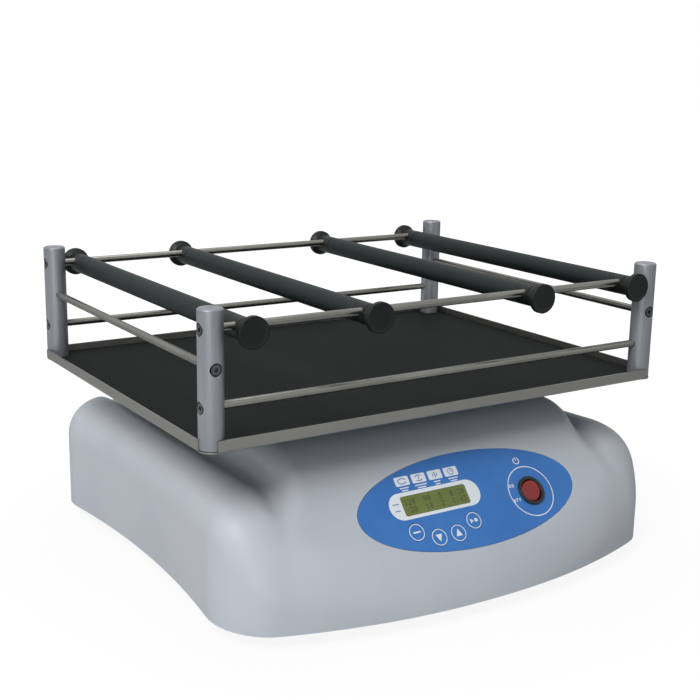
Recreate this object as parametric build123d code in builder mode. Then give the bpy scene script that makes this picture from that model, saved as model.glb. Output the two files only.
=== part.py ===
from build123d import *
import os
from math import cos, radians, sin, tan

os.makedirs("parts", exist_ok=True)

# Bench orbital shaker with a universal bottle platform, in millimetres.
# +Z is up, +X runs to the right along the control panel, the front faces -Y.
# The origin is on the bench, under the middle of the platform at rest.

# Orbit: the platform's middle rests one throw to the left of the drive shaft
orbit_r = 10.0
drive_x = orbit_r
running_gap = 0.03       # radial, shafts in bearings
seat_gap = 0.1           # radial, pieces of one body that slip together
moving_gap = 0.3         # between faces of different bodies
through = 1.0            # extra depth of a cut that goes right through

# Feet and base plate
foot_d = 29.0
foot_h = 13.0
foot_edge = 1.0
foot_pitch_x = 310.0
foot_pitch_y = 266.0
foot_recess_d = 11.0
foot_recess_h = 5.0
foot_screw_d = 5.0
foot_screw_l = 26.0
foot_screw_head_d = 9.6
foot_screw_head_h = 3.5
base_t = 3.0
base_gap = 0.6           # edge of the base plate to the cover's wall

# Moulded cover
skirt_z = 12.0           # bottom edge above the bench
cover_w = 410.0
cover_d = 410.0
cover_top_z = 130.0
cover_wall = 3.0
front_bow = 44.0
back_bow = 20.0
waist = 10.0             # how far each side draws in at its middle
lobe = 6.5               # overshoot of the side arcs' ends, before the corners round
corner_r = 40.0
crown_z = 108.0          # shoulders along both sides
crown_x = 167.0
shoulder_r = 33.0
valley_z = 101.5
valley_x = 159.0
valley_r = 8.0
block_top_w = 292.0      # raised middle block
block_foot_w = 308.0
block_foot_z = 80.0
block_edge_r = 14.0
brow_r = 20.0            # rounding above the sloped face
block_back_r = 30.0
skirt_edge_r = 12.0      # rounding below the sloped face
boss_d = 14.0
boss_hole_h = 24.0

# Sloped face and control panel, measured on the face from the panel's centre
slope_tilt = 41.0        # elevation of the face's normal
slope_y = -165.0
slope_z = 77.0
panel_x = 17.0
panel_z = 79.6
panel_w = 212.0
panel_h = 80.0
panel_recess = 1.2
overlay_t = 0.8
overlay_gap = 0.3
window_w = 62.5
window_h = 16.3
window_x = -32.5
window_s = 4.7
window_lap = 1.2
display_w = 76.0
display_h = 22.0
display_s = 6.5
key_d = 14.0
key_hole_gap = 0.3
key_proud = 0.2
key_edge = 0.2
key_flange_d = 17.0
key_flange_t = 1.0
key_stem_d = 5.0
key_travel = 0.4
switch_gap = 0.4         # left between stem and switch with the key fully down
board_depth = 14.0
board_t = 1.6
board_w = 140.0
board_h = 60.0
board_x = -22.0
board_s = -3.0
board_boss_d = 7.0
board_boss_inset = 5.0
switch_w = 6.0
switch_h = 3.4
key_places = {
    "select_key": (-60.3, -17.0),
    "down_key": (-42.3, -24.7),
    "up_key": (-24.0, -24.9),
    "start_key": (-5.8, -18.0),
}

# Power rocker
rocker_x = 59.5
rocker_s = -5.0
bezel_d = 24.5
bezel_h = 1.8
bezel_edge = 0.8
barrel_d = 20.8
barrel_l = 20.0
pocket_d = 19.0
pocket_h = 7.0
rocker_d = 17.8
rocker_t = 5.0
rocker_depth = 1.0       # pivot below the overlay's face
rocker_tilt = 10.0
trunnion_d = 2.4
trunnion_gap = 0.08

# Power inlet in the middle of the back
inlet_z = 45.0
inlet_flange_d = 15.0
inlet_flange_h = 2.4
inlet_barrel_d = 9.0
inlet_barrel_l = 16.0
inlet_socket_d = 6.0
inlet_socket_l = 10.0
inlet_pin_d = 2.0
inlet_boss_d = 24.0
inlet_boss_h = 4.0

# Chassis inside the cover
bearing_plate_z = 70.0
bearing_plate_t = 6.0
bearing_plate_w = 250.0
bearing_plate_d = 240.0
bearing_plate_r = 12.0
pillar_d = 12.0
pillar_pitch_x = 220.0
pillar_pitch_y = 210.0
plate_screw_d = 5.0
plate_screw_l = 12.0
thread_run = 1.0         # hole left beyond a screw's tip
plate_screw_head_d = 8.5
plate_screw_head_h = 3.0

# Spindle, in two bearings
spindle_d = 17.0
spindle_bearing_d = 35.0
spindle_bearing_w = 10.0
spindle_body_d = 50.0
spindle_flange_d = 72.0
spindle_flange_t = 5.0
spindle_drop = 24.0      # of the housing below the bearing plate
spindle_bore_d = 30.0
spindle_screw_pcd = 61.0
spindle_end_z = 20.0
hub_z = 86.0
hub_h = 12.0
hub_d = 46.0
collar_d = 21.0
crank_pin_d = 12.0
counterweight_r = 74.0
counterweight_rim = 8.0
counterweight_corner_r = 6.0

# Belt drive
pulley_z = 22.0
pulley_h = 12.0
driven_pulley_d = 66.0
motor_pulley_d = 22.0
pulley_flange_t = 1.0
pulley_flange_rise = 2.0
belt_w = 9.0
belt_t = 1.5
belt_gap = 0.3
motor_dx = -70.0
motor_dy = 40.0
motor_d = 62.0
motor_h = 30.0
motor_edge_r = 3.0
motor_nose_d = 22.0
motor_nose_h = 2.0
motor_shaft_d = 6.0
motor_shaft_inset = 20.0
motor_shaft_tip = 2.0    # past the pulley
shaft_edge = 0.5
motor_screw_pcd = 46.0

# Carriage under the platform, on the crank pin and three idler cranks
carriage_z = 106.0
carriage_t = 6.0
carriage_w = 220.0
carriage_d = 214.0
carriage_dy = 14.0
carriage_r = 20.0
carriage_boss_wall = 4.0
bearing_sink = 1.0       # bearings below the carriage's upper face
crank_bearing_d = 28.0
crank_bearing_w = 8.0
idler_circle_r = 105.0
idler_angles = (90, 210, 330)
idler_pin_d = 8.0
idler_bearing_d = 22.0
idler_bearing_w = 7.0
idler_web_r = 11.0
idler_web_t = 10.0
idler_collar_d = 11.0
idler_boss_wall = 4.0
idler_lip = 3.0
post_boss_d = 18.0
post_boss_pitch_x = 124.0
post_boss_pitch_y = 144.0
post_hole_gap = 2.0
lightening_d = 34.0

# Platform
tray_z = 152.0
tray_w = 430.0
tray_d = 324.0
tray_rim_h = 9.0
sheet_t = 1.2
bend_r = 2.4
mat_t = 2.0
mat_gap = 1.0
tray_screw_d = 5.0
tray_screw_l = 12.0
tray_screw_head_d = 9.6
tray_screw_head_h = 1.2
post_d = 18.4
post_top_z = 252.0
post_edge_r = 1.0
rod_d = 6.0
rod_socket = 3.2
upper_rod_z = 85.6       # rods, above the tray's underside
side_rod_z = 58.65
lower_rod_z = 31.1
post_bore_d = 9.5
post_bore_h = 5.0
post_screw_d = 4.0
post_screw_l = 18.0
post_screw_head_d = 7.2
post_screw_head_h = 4.0
hex_socket = 3.0
hex_depth = 2.0

# Clamp bars across the platform
bar_places = (-180.0, -77.0, 77.0, 180.0)
bar_drop = 2.5           # bar's axis below the rods' axis
bar_d = 16.5
bar_bore_d = 12.0
bar_sleeve_end = 10.6    # sleeve's end inside the rod's axis
bar_end_l = 9.6          # clamp end past the rod's axis
bar_end_edge = 4.4       # ring groove past the rod's axis
groove_w = 0.8
groove_depth = 0.5
spigot_l = 14.0
rod_slide_gap = 0.1
knob_d = 23.5
knob_neck_d = 17.5
knob_l = 7.2
knob_rim_l = 4.0
knob_edge_r = 1.2
stud_d = 5.0
stud_gap = 0.05

# Values that follow from the sizes above
front_y = -cover_d / 2
slope_run = tan(radians(slope_tilt))
panel_y = slope_y + slope_run * (panel_z - slope_z)
panel_plane = Plane(
    origin=(panel_x, panel_y, panel_z),
    x_dir=(1, 0, 0),
    z_dir=(0, -cos(radians(slope_tilt)), sin(radians(slope_tilt))),
)
overlay_top = overlay_t - panel_recess
base_z = foot_h
base_top = base_z + base_t
plate_top = bearing_plate_z + bearing_plate_t
spindle_top = plate_top + spindle_flange_t
spindle_bottom = bearing_plate_z - spindle_drop
motor_bottom = bearing_plate_z - motor_h
motor_x = drive_x + motor_dx
carriage_top = carriage_z + carriage_t
floor_z = tray_z + sheet_t
post_x = tray_w / 2 - sheet_t - post_d / 2
post_y = tray_d / 2 - sheet_t - post_d / 2
upper_z = tray_z + upper_rod_z
side_z = tray_z + side_rod_z
lower_z = tray_z + lower_rod_z
bar_z = upper_z - bar_drop
key_flange_n = -cover_wall - 2 * moving_gap
stem_tip_n = -board_depth + switch_h + switch_gap + key_travel
idler_places = [
    (idler_circle_r * cos(radians(a)), idler_circle_r * sin(radians(a))) for a in idler_angles
]
foot_grid = GridLocations(foot_pitch_x, foot_pitch_y, 2, 2)
post_boss_grid = GridLocations(post_boss_pitch_x, post_boss_pitch_y, 2, 2)


def keep(name, piece):
    """Label a finished piece and write its STEP file."""
    piece.part.label = name
    export_step(piece.part, f"parts/{name}.step")


def level(z, x=0.0, y=0.0):
    """A level working plane at height z."""
    return Plane(origin=(x, y, z))


def along_y(x, y, z):
    """A working plane that faces the back, with X to the right and Z up."""
    return Plane(origin=(x, y, z), x_dir=(-1, 0, 0), z_dir=(0, 1, 0))


def along_x(x, y, z):
    """A working plane that faces the right."""
    return Plane(origin=(x, y, z), x_dir=(0, 1, 0), z_dir=(1, 0, 0))


def panel_level(n):
    """A working plane parallel to the panel, n above the sloped face."""
    return panel_plane.offset(n)


# The cover's outer and inner skins come from the same plan and sections, drawn
# inwards by the wall for the inner one.
def cover_plan(inset):
    half = cover_w / 2 + lobe
    front = front_y + front_bow
    back = cover_d / 2 - back_bow
    middle = (front + back) / 2
    side = cover_w / 2 - waist
    with BuildSketch() as plan:
        with BuildLine():
            ThreePointArc((-half, front), (0, front_y), (half, front))
            ThreePointArc((half, front), (side, middle), (half, back))
            ThreePointArc((half, back), (0, cover_d / 2), (-half, back))
            ThreePointArc((-half, back), (-side, middle), (-half, front))
        make_face()
        if inset:
            offset(amount=-inset, kind=Kind.INTERSECTION)
        fillet(plan.vertices(), corner_r - inset)
    return plan.sketch


def shoulder_section(inset):
    half = cover_w / 2
    with BuildSketch() as section:
        with BuildLine():
            Polyline(
                (0, -cover_top_z), (half, -cover_top_z), (half, crown_z),
                (crown_x, crown_z), (valley_x, valley_z), (0, valley_z),
            )
            mirror(about=Plane.YZ)
        make_face()
        if inset:
            offset(amount=-inset, kind=Kind.INTERSECTION)
        tops = section.vertices().filter_by(lambda v: v.Y > 0 and abs(v.X) > 1)
        bands = tops.group_by(lambda v: abs(v.X))
        fillet(bands[2], shoulder_r - inset)
        fillet(bands[1], valley_r - inset)
        fillet(bands[0], valley_r + inset)
    return section.sketch


def block_section(inset):
    foot = block_foot_w / 2
    top = block_top_w / 2
    with BuildSketch() as section:
        with BuildLine():
            Polyline(
                (0, -cover_top_z), (foot, -cover_top_z), (foot, block_foot_z),
                (top, cover_top_z), (0, cover_top_z),
            )
            mirror(about=Plane.YZ)
        make_face()
        if inset:
            offset(amount=-inset, kind=Kind.INTERSECTION)
        corners = section.vertices().filter_by(lambda v: v.Y > block_foot_z + 1 and abs(v.X) > 1)
        fillet(corners, block_edge_r - inset)
    return section.sketch


def slope_section(top, back_r, inset):
    """Side view: the sloped face, a level top and a rounded back."""
    front = front_y - cover_d / 4
    foot = slope_z + (front - slope_y) / slope_run
    brow = slope_y + slope_run * (top - slope_z)
    with BuildSketch() as section:
        with BuildLine():
            Polyline(
                (front, foot - cover_d), (front, foot), (brow, top), (cover_d / 2, top),
                (cover_d / 2, foot - cover_d), (front, foot - cover_d),
            )
        make_face()
        if inset:
            offset(amount=-inset, kind=Kind.INTERSECTION)
        fillet(section.vertices().group_by(Axis.Y)[-1].sort_by(Axis.X)[0], brow_r - inset)
        fillet(section.vertices().group_by(Axis.Y)[-1].sort_by(Axis.X)[-1], back_r - inset)
    return section.sketch


def cover_mass(cross, side, inset, drop):
    """One closed form inside the plan, a cross-section and a side view."""
    plan = cover_plan(inset)
    with BuildPart() as mass:
        with BuildSketch(level(skirt_z - drop, drive_x)):
            add(plan)
        extrude(amount=cover_top_z)
        with BuildSketch(Plane(origin=(drive_x, 0, 0), x_dir=(1, 0, 0), z_dir=(0, -1, 0))):
            add(cross)
        extrude(amount=cover_d, both=True, mode=Mode.INTERSECT)
        with BuildSketch(along_x(drive_x, 0, 0)):
            add(side)
        extrude(amount=cover_w, both=True, mode=Mode.INTERSECT)
    return mass.part


def cover_skin(inset, drop):
    low = cover_mass(
        shoulder_section(inset), slope_section(crown_z, shoulder_r, inset), inset, drop
    )
    block = cover_mass(
        block_section(inset), slope_section(cover_top_z, block_back_r, inset), inset, drop
    )
    with BuildPart() as skin:
        add(low)
        add(block)
    return skin.part


def on_slope(point):
    return abs(point.Y - slope_y - slope_run * (point.Z - slope_z)) < 0.05


def at_skirt(edge):
    """True for the edges where the sloped face meets the upright wall."""
    ends_on = on_slope(edge @ 0.02) and on_slope(edge @ 0.5) and on_slope(edge @ 0.98)
    return ends_on and (edge @ 0.5).Z < block_foot_z


outer_skin = cover_skin(0, 0)
inner_skin = cover_skin(cover_wall, base_t)

with BuildPart() as cavity:
    add(inner_skin)
    with BuildSketch(level(base_top, drive_x)):
        with foot_grid:
            Circle(boss_d / 2)
    extrude(amount=cover_top_z, mode=Mode.SUBTRACT)

with BuildPart() as cover:
    add(outer_skin)
    fillet(cover.edges().filter_by(at_skirt), skirt_edge_r)
    add(cavity.part, mode=Mode.SUBTRACT)
    # Bosses that carry the control board
    with BuildSketch(panel_plane.offset(-cover_wall / 2)):
        with Locations((board_x, board_s)):
            with GridLocations(
                board_w - 2 * board_boss_inset, board_h - 2 * board_boss_inset, 2, 2
            ):
                Circle(board_boss_d / 2)
    extrude(amount=cover_wall / 2 - board_depth)
    # Boss behind the power inlet
    with BuildSketch(along_y(drive_x, cover_d / 2 - cover_wall / 2, inlet_z)):
        Circle(inlet_boss_d / 2)
    extrude(amount=-cover_wall / 2 - inlet_boss_h)
    with BuildSketch(along_y(drive_x, cover_d / 2, inlet_z)):
        Circle(inlet_flange_d / 2 + seat_gap)
    extrude(amount=-inlet_flange_h, mode=Mode.SUBTRACT)
    with BuildSketch(along_y(drive_x, cover_d / 2, inlet_z)):
        Circle(inlet_barrel_d / 2 + seat_gap)
    extrude(amount=-cover_wall - inlet_boss_h - through, mode=Mode.SUBTRACT)
    # Recess of the control panel, with its openings
    with BuildSketch(panel_plane):
        Ellipse(panel_w / 2, panel_h / 2)
    extrude(amount=-panel_recess, mode=Mode.SUBTRACT)
    with BuildSketch(panel_plane):
        with Locations((window_x, window_s)):
            Rectangle(window_w - 2 * window_lap, window_h - 2 * window_lap)
        with Locations(*key_places.values()):
            Circle(key_d / 2 + key_hole_gap)
        with Locations((rocker_x, rocker_s)):
            Circle(barrel_d / 2 + seat_gap)
    extrude(amount=-cover_wall - through, mode=Mode.SUBTRACT)
    # Holes that the carriage's posts orbit in
    with BuildSketch(level(cover_top_z + through, drive_x)):
        with post_boss_grid:
            Circle(post_boss_d / 2 + orbit_r + post_hole_gap)
    extrude(amount=-cover_wall - 2 * through, mode=Mode.SUBTRACT)
    # Screw holes in the bosses above the feet
    with BuildSketch(level(base_top, drive_x)):
        with foot_grid:
            Circle(foot_screw_d / 2 + seat_gap / 2)
    extrude(amount=boss_hole_h, mode=Mode.SUBTRACT)
keep("cover", cover)

base_outline = cover_plan(cover_wall + base_gap)
with BuildPart() as base_plate:
    with BuildSketch(level(base_z, drive_x)):
        add(base_outline)
        Rectangle(cover_w - 2 * (cover_wall + base_gap), cover_d, mode=Mode.INTERSECT)
        with foot_grid:
            Circle(foot_screw_d / 2 + seat_gap, mode=Mode.SUBTRACT)
    extrude(amount=base_t)
keep("base_plate", base_plate)

with BuildPart() as feet:
    with BuildSketch(level(0, drive_x)):
        with foot_grid:
            Circle(foot_d / 2)
    extrude(amount=foot_h)
    chamfer(feet.edges().filter_by(GeomType.CIRCLE).group_by(Axis.Z)[0], foot_edge)
    with BuildSketch(level(0, drive_x)):
        with foot_grid:
            Circle(foot_recess_d / 2)
    extrude(amount=foot_recess_h, mode=Mode.SUBTRACT)
    with BuildSketch(level(0, drive_x)):
        with foot_grid:
            Circle(foot_screw_d / 2 + seat_gap)
    extrude(amount=foot_h, mode=Mode.SUBTRACT)
keep("feet", feet)


def screw_group(places, plane, d, length, head_d, head_h, socket, socket_h):
    """Socket-head screws, heads on the plane's upper side and shanks below it."""
    with BuildPart() as group:
        with BuildSketch(plane):
            with places:
                Circle(head_d / 2)
        extrude(amount=head_h)
        with BuildSketch(plane):
            with places:
                Circle(d / 2)
        extrude(amount=-length)
        with BuildSketch(plane.offset(head_h)):
            with places:
                RegularPolygon(socket / 2, 6, major_radius=False)
        extrude(amount=-socket_h, mode=Mode.SUBTRACT)
    return group


foot_screws = screw_group(
    foot_grid,
    Plane(origin=(drive_x, 0, foot_recess_h), x_dir=(1, 0, 0), z_dir=(0, 0, -1)),
    foot_screw_d, foot_screw_l, foot_screw_head_d, foot_screw_head_h, hex_socket, hex_depth,
)
keep("foot_screws", foot_screws)

# Chassis: pillars carry the bearing plate, with the spindle and the motor on it
pillar_grid = GridLocations(pillar_pitch_x, pillar_pitch_y, 2, 2)
with BuildPart() as plate_pillars:
    with BuildSketch(level(base_top, drive_x)):
        with pillar_grid:
            Circle(pillar_d / 2)
    extrude(amount=bearing_plate_z - base_top)
    with BuildSketch(level(bearing_plate_z, drive_x)):
        with pillar_grid:
            Circle(plate_screw_d / 2 + seat_gap / 2)
    extrude(amount=-plate_screw_l, mode=Mode.SUBTRACT)
keep("plate_pillars", plate_pillars)

motor_screw_ring = PolarLocations(motor_screw_pcd / 2, 4, start_angle=45)
with BuildPart() as bearing_plate:
    with BuildSketch(level(bearing_plate_z, drive_x)):
        RectangleRounded(bearing_plate_w, bearing_plate_d, bearing_plate_r)
    extrude(amount=bearing_plate_t)
    with BuildSketch(level(plate_top, drive_x)):
        with Locations(*idler_places):
            Circle(idler_bearing_d / 2 + idler_boss_wall)
    extrude(amount=-idler_bearing_w - idler_lip)
    with BuildSketch(level(plate_top, drive_x)):
        with Locations(*idler_places):
            Circle(idler_bearing_d / 2 + seat_gap / 2)
    extrude(amount=-idler_bearing_w, mode=Mode.SUBTRACT)
    with BuildSketch(level(plate_top, drive_x)):
        with Locations(*idler_places):
            Circle(idler_bearing_d / 2 - idler_lip)
        Circle(spindle_body_d / 2 + seat_gap)
    extrude(amount=-idler_bearing_w - idler_lip, mode=Mode.SUBTRACT)
    with BuildSketch(level(plate_top, drive_x)):
        with pillar_grid:
            Circle(plate_screw_d / 2 + seat_gap)
        with PolarLocations(spindle_screw_pcd / 2, 4, start_angle=45):
            Circle(plate_screw_d / 2 + seat_gap)
        with Locations((motor_dx, motor_dy)):
            with PolarLocations(motor_screw_pcd / 2, 4, start_angle=45):
                Circle(plate_screw_d / 2 + seat_gap)
    extrude(amount=-bearing_plate_t, mode=Mode.SUBTRACT)
keep("bearing_plate", bearing_plate)

with BuildPart() as spindle_housing:
    with BuildSketch(level(plate_top, drive_x)):
        Circle(spindle_flange_d / 2)
    extrude(amount=spindle_flange_t)
    with BuildSketch(level(plate_top, drive_x)):
        Circle(spindle_body_d / 2)
    extrude(amount=spindle_bottom - plate_top)
    with BuildSketch(level(spindle_top, drive_x)):
        Circle(spindle_bearing_d / 2 + seat_gap / 2)
    extrude(amount=-spindle_bearing_w, mode=Mode.SUBTRACT)
    with BuildSketch(level(spindle_bottom, drive_x)):
        Circle(spindle_bearing_d / 2 + seat_gap / 2)
    extrude(amount=spindle_bearing_w, mode=Mode.SUBTRACT)
    with BuildSketch(level(spindle_bottom, drive_x)):
        Circle(spindle_bore_d / 2)
    extrude(amount=spindle_top - spindle_bottom, mode=Mode.SUBTRACT)
    with BuildSketch(level(spindle_top, drive_x)):
        with PolarLocations(spindle_screw_pcd / 2, 4, start_angle=45):
            Circle(plate_screw_d / 2 + seat_gap)
    extrude(amount=-spindle_flange_t, mode=Mode.SUBTRACT)
keep("spindle_housing", spindle_housing)


def plate_screw_set(places, plane):
    return screw_group(
        places, plane, plate_screw_d, plate_screw_l, plate_screw_head_d, plate_screw_head_h,
        hex_socket, hex_depth,
    )


pillar_screws = plate_screw_set(pillar_grid, level(plate_top, drive_x))
spindle_screws = plate_screw_set(
    PolarLocations(spindle_screw_pcd / 2, 4, start_angle=45), level(spindle_top, drive_x)
)
motor_screws = plate_screw_set(motor_screw_ring, level(plate_top, motor_x, motor_dy))
with BuildPart() as plate_screws:
    add(pillar_screws.part)
    add(spindle_screws.part)
    add(motor_screws.part)
keep("plate_screws", plate_screws)


def bearing(plane, bore_d, outer_d, width):
    """A shielded ball bearing as one ring, grooved between its races on both faces."""
    groove_in = bore_d / 2 + (outer_d - bore_d) / 8
    groove_out = outer_d / 2 - (outer_d - bore_d) / 8
    groove_h = width / 16
    with BuildPart() as ring:
        with BuildSketch(plane):
            Circle(outer_d / 2)
            Circle(bore_d / 2 + running_gap, mode=Mode.SUBTRACT)
        extrude(amount=width)
        for offset_n, sense in ((0, 1), (width, -1)):
            with BuildSketch(plane.offset(offset_n)):
                Circle(groove_out)
                Circle(groove_in, mode=Mode.SUBTRACT)
            extrude(amount=sense * groove_h, mode=Mode.SUBTRACT)
    return ring.part


spindle_rings = [
    bearing(level(z, drive_x), spindle_d, spindle_bearing_d, spindle_bearing_w)
    for z in (spindle_bottom, spindle_top - spindle_bearing_w)
]
idler_rings = [
    bearing(
        level(plate_top - idler_bearing_w, drive_x + x, y),
        idler_pin_d, idler_bearing_d, idler_bearing_w,
    )
    for x, y in idler_places
]
with BuildPart() as base_bearings:
    for ring in spindle_rings + idler_rings:
        add(ring)
keep("base_bearings", base_bearings)

with BuildPart() as motor:
    with BuildSketch(level(motor_bottom, motor_x, motor_dy)):
        Circle(motor_d / 2)
    extrude(amount=motor_h)
    fillet(motor.edges().filter_by(GeomType.CIRCLE).sort_by(Axis.Z)[0], motor_edge_r)
    with BuildSketch(level(motor_bottom, motor_x, motor_dy)):
        Circle(motor_nose_d / 2)
    extrude(amount=-motor_nose_h)
    with BuildSketch(level(motor_bottom - motor_nose_h, motor_x, motor_dy)):
        Circle(motor_shaft_d / 2 + running_gap)
    extrude(amount=motor_nose_h + motor_shaft_inset + moving_gap, mode=Mode.SUBTRACT)
    with BuildSketch(level(bearing_plate_z, motor_x, motor_dy)):
        with motor_screw_ring:
            Circle(plate_screw_d / 2 + seat_gap / 2)
    extrude(amount=bearing_plate_t - plate_screw_l - thread_run, mode=Mode.SUBTRACT)
keep("motor", motor)

with BuildPart() as motor_shaft:
    with BuildSketch(level(pulley_z - motor_shaft_tip, motor_x, motor_dy)):
        Circle(motor_shaft_d / 2)
    extrude(amount=motor_bottom + motor_shaft_inset - pulley_z + motor_shaft_tip)
    chamfer(motor_shaft.edges().filter_by(GeomType.CIRCLE).sort_by(Axis.Z)[0], shaft_edge)
keep("motor_shaft", motor_shaft)


def pulley(x, y, d, bore_d):
    """A flanged belt pulley with a relieved web on its upper face."""
    with BuildPart() as wheel:
        with BuildSketch(level(pulley_z, x, y)):
            Circle(d / 2)
        extrude(amount=pulley_h)
        for z, sense in ((pulley_z, 1), (pulley_z + pulley_h, -1)):
            with BuildSketch(level(z, x, y)):
                Circle(d / 2 + pulley_flange_rise)
            extrude(amount=sense * pulley_flange_t)
        with BuildSketch(level(pulley_z, x, y)):
            Circle(bore_d / 2 + seat_gap / 2)
        extrude(amount=pulley_h, mode=Mode.SUBTRACT)
    return wheel


driven_pulley = pulley(drive_x, 0, driven_pulley_d, spindle_d)
keep("driven_pulley", driven_pulley)
motor_pulley = pulley(motor_x, motor_dy, motor_pulley_d, motor_shaft_d)
keep("motor_pulley", motor_pulley)


def belt_outline(grow):
    """The belt's path round both pulleys, grown outwards from their faces."""
    with BuildSketch() as loop:
        with Locations((0, 0)):
            Circle(driven_pulley_d / 2 + grow)
        with Locations((motor_dx, motor_dy)):
            Circle(motor_pulley_d / 2 + grow)
        make_hull()
    return loop.sketch


belt_outer = belt_outline(belt_gap + belt_t)
belt_inner = belt_outline(belt_gap)
with BuildPart() as drive_belt:
    with BuildSketch(level(pulley_z + (pulley_h - belt_w) / 2, drive_x)):
        add(belt_outer)
        add(belt_inner, mode=Mode.SUBTRACT)
    extrude(amount=belt_w)
keep("drive_belt", drive_belt)

# Crank: spindle, hub and pin in one piece, with its counterweight on the hub
with BuildPart() as drive_shaft:
    with BuildSketch(level(spindle_end_z, drive_x)):
        Circle(spindle_d / 2)
    extrude(amount=hub_z - spindle_end_z)
    with BuildSketch(level(spindle_top + moving_gap, drive_x)):
        Circle(collar_d / 2)
    extrude(amount=hub_z - spindle_top - moving_gap)
    with BuildSketch(level(hub_z, drive_x)):
        Circle(hub_d / 2)
    extrude(amount=hub_h)
    with BuildSketch(level(hub_z + hub_h, drive_x - orbit_r)):
        Circle(crank_pin_d / 2)
    extrude(amount=carriage_top - hub_z - hub_h)
keep("drive_shaft", drive_shaft)

with BuildPart() as counterweight:
    with BuildSketch(level(hub_z, drive_x)) as sector:
        Circle(counterweight_r)
        with Locations((-counterweight_r, 0)):
            Rectangle(2 * counterweight_r, 2 * counterweight_r, mode=Mode.SUBTRACT)
        fillet(sector.vertices(), counterweight_corner_r)
        Circle(hub_d / 2 + counterweight_rim)
        Circle(hub_d / 2 + seat_gap / 2, mode=Mode.SUBTRACT)
    extrude(amount=hub_h)
keep("counterweight", counterweight)

for number, (x, y) in enumerate(idler_places, start=1):
    with BuildPart() as idler:
        with BuildSketch(level(plate_top - idler_bearing_w, drive_x + x, y)):
            Circle(idler_pin_d / 2)
        extrude(amount=idler_bearing_w + hub_z - plate_top)
        with BuildSketch(level(plate_top + moving_gap, drive_x + x, y)):
            Circle(idler_collar_d / 2)
        extrude(amount=hub_z - plate_top - moving_gap)
        with BuildSketch(level(hub_z, drive_x + x - orbit_r / 2, y)):
            SlotCenterToCenter(orbit_r, 2 * idler_web_r)
        extrude(amount=idler_web_t)
        with BuildSketch(level(hub_z + idler_web_t, x, y)):
            Circle(idler_pin_d / 2)
        extrude(amount=carriage_top - hub_z - idler_web_t)
    keep(f"idler_crank_{number}", idler)

# Carriage: plate, bearings and posts that orbit inside the cover
seat_top = carriage_top - bearing_sink
crank_seat_z = seat_top - crank_bearing_w
idler_seat_z = seat_top - idler_bearing_w
with BuildPart() as carriage_plate:
    with BuildSketch(level(carriage_z, 0, carriage_dy)):
        RectangleRounded(carriage_w, carriage_d, carriage_r)
    extrude(amount=carriage_t)
    with BuildSketch(level(seat_top)):
        Circle(crank_bearing_d / 2 + carriage_boss_wall)
        with Locations(*idler_places):
            Circle(idler_bearing_d / 2 + carriage_boss_wall)
    extrude(amount=-crank_bearing_w)
    with BuildSketch(level(carriage_top)):
        Circle(crank_bearing_d / 2 + seat_gap / 2)
    extrude(amount=crank_seat_z - carriage_top, mode=Mode.SUBTRACT)
    with BuildSketch(level(carriage_top)):
        with Locations(*idler_places):
            Circle(idler_bearing_d / 2 + seat_gap / 2)
    extrude(amount=idler_seat_z - carriage_top, mode=Mode.SUBTRACT)
    with BuildSketch(level(carriage_top)):
        with Locations(*idler_places):
            Circle(idler_bearing_d / 2 - idler_lip)
        with Locations((0, post_boss_pitch_y / 2)):
            Circle(lightening_d / 2)
        with Locations((0, -post_boss_pitch_y / 2)):
            Circle(lightening_d / 2)
    extrude(amount=crank_seat_z - carriage_top, mode=Mode.SUBTRACT)
keep("carriage_plate", carriage_plate)

crank_ring = bearing(level(crank_seat_z), crank_pin_d, crank_bearing_d, crank_bearing_w)
carriage_rings = [
    bearing(level(idler_seat_z, x, y), idler_pin_d, idler_bearing_d, idler_bearing_w)
    for x, y in idler_places
]
with BuildPart() as carriage_bearings:
    add(crank_ring)
    for ring in carriage_rings:
        add(ring)
keep("carriage_bearings", carriage_bearings)

with BuildPart() as carriage_posts:
    with BuildSketch(level(carriage_top)):
        with post_boss_grid:
            Circle(post_boss_d / 2)
    extrude(amount=tray_z - carriage_top)
    with BuildSketch(level(tray_z)):
        with post_boss_grid:
            Circle(tray_screw_d / 2 + seat_gap / 2)
    extrude(amount=-tray_screw_l, mode=Mode.SUBTRACT)
keep("carriage_posts", carriage_posts)

# Platform: folded tray, mat, corner posts and rails
with BuildPart() as tray:
    # Long folds, whose rims end at the posts' axes
    with BuildSketch(along_x(-post_x, 0, tray_z)) as fold:
        with Locations((0, tray_rim_h / 2)):
            Rectangle(tray_d, tray_rim_h)
        fillet(fold.vertices().group_by(Axis.Y)[0], bend_r)
        with Locations((0, tray_rim_h / 2 + sheet_t)):
            Rectangle(tray_d - 2 * sheet_t, tray_rim_h, mode=Mode.SUBTRACT)
    extrude(amount=2 * post_x)
    with BuildSketch(Plane(origin=(0, post_y, tray_z), x_dir=(1, 0, 0), z_dir=(0, -1, 0))) as fold:
        with Locations((0, tray_rim_h / 2)):
            Rectangle(tray_w, tray_rim_h)
        fillet(fold.vertices().group_by(Axis.Y)[0], bend_r)
        with Locations((0, tray_rim_h / 2 + sheet_t)):
            Rectangle(tray_w - 2 * sheet_t, tray_rim_h, mode=Mode.SUBTRACT)
    extrude(amount=2 * post_y)
    # Corner pads under the posts
    with BuildSketch(level(tray_z)):
        with GridLocations(2 * post_x, 2 * post_y, 2, 2):
            Circle(post_d / 2 + moving_gap)
    extrude(amount=sheet_t)
    with BuildSketch(level(tray_z)):
        with post_boss_grid:
            Circle(tray_screw_d / 2 + seat_gap)
    extrude(amount=sheet_t, mode=Mode.SUBTRACT)
keep("tray", tray)

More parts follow.
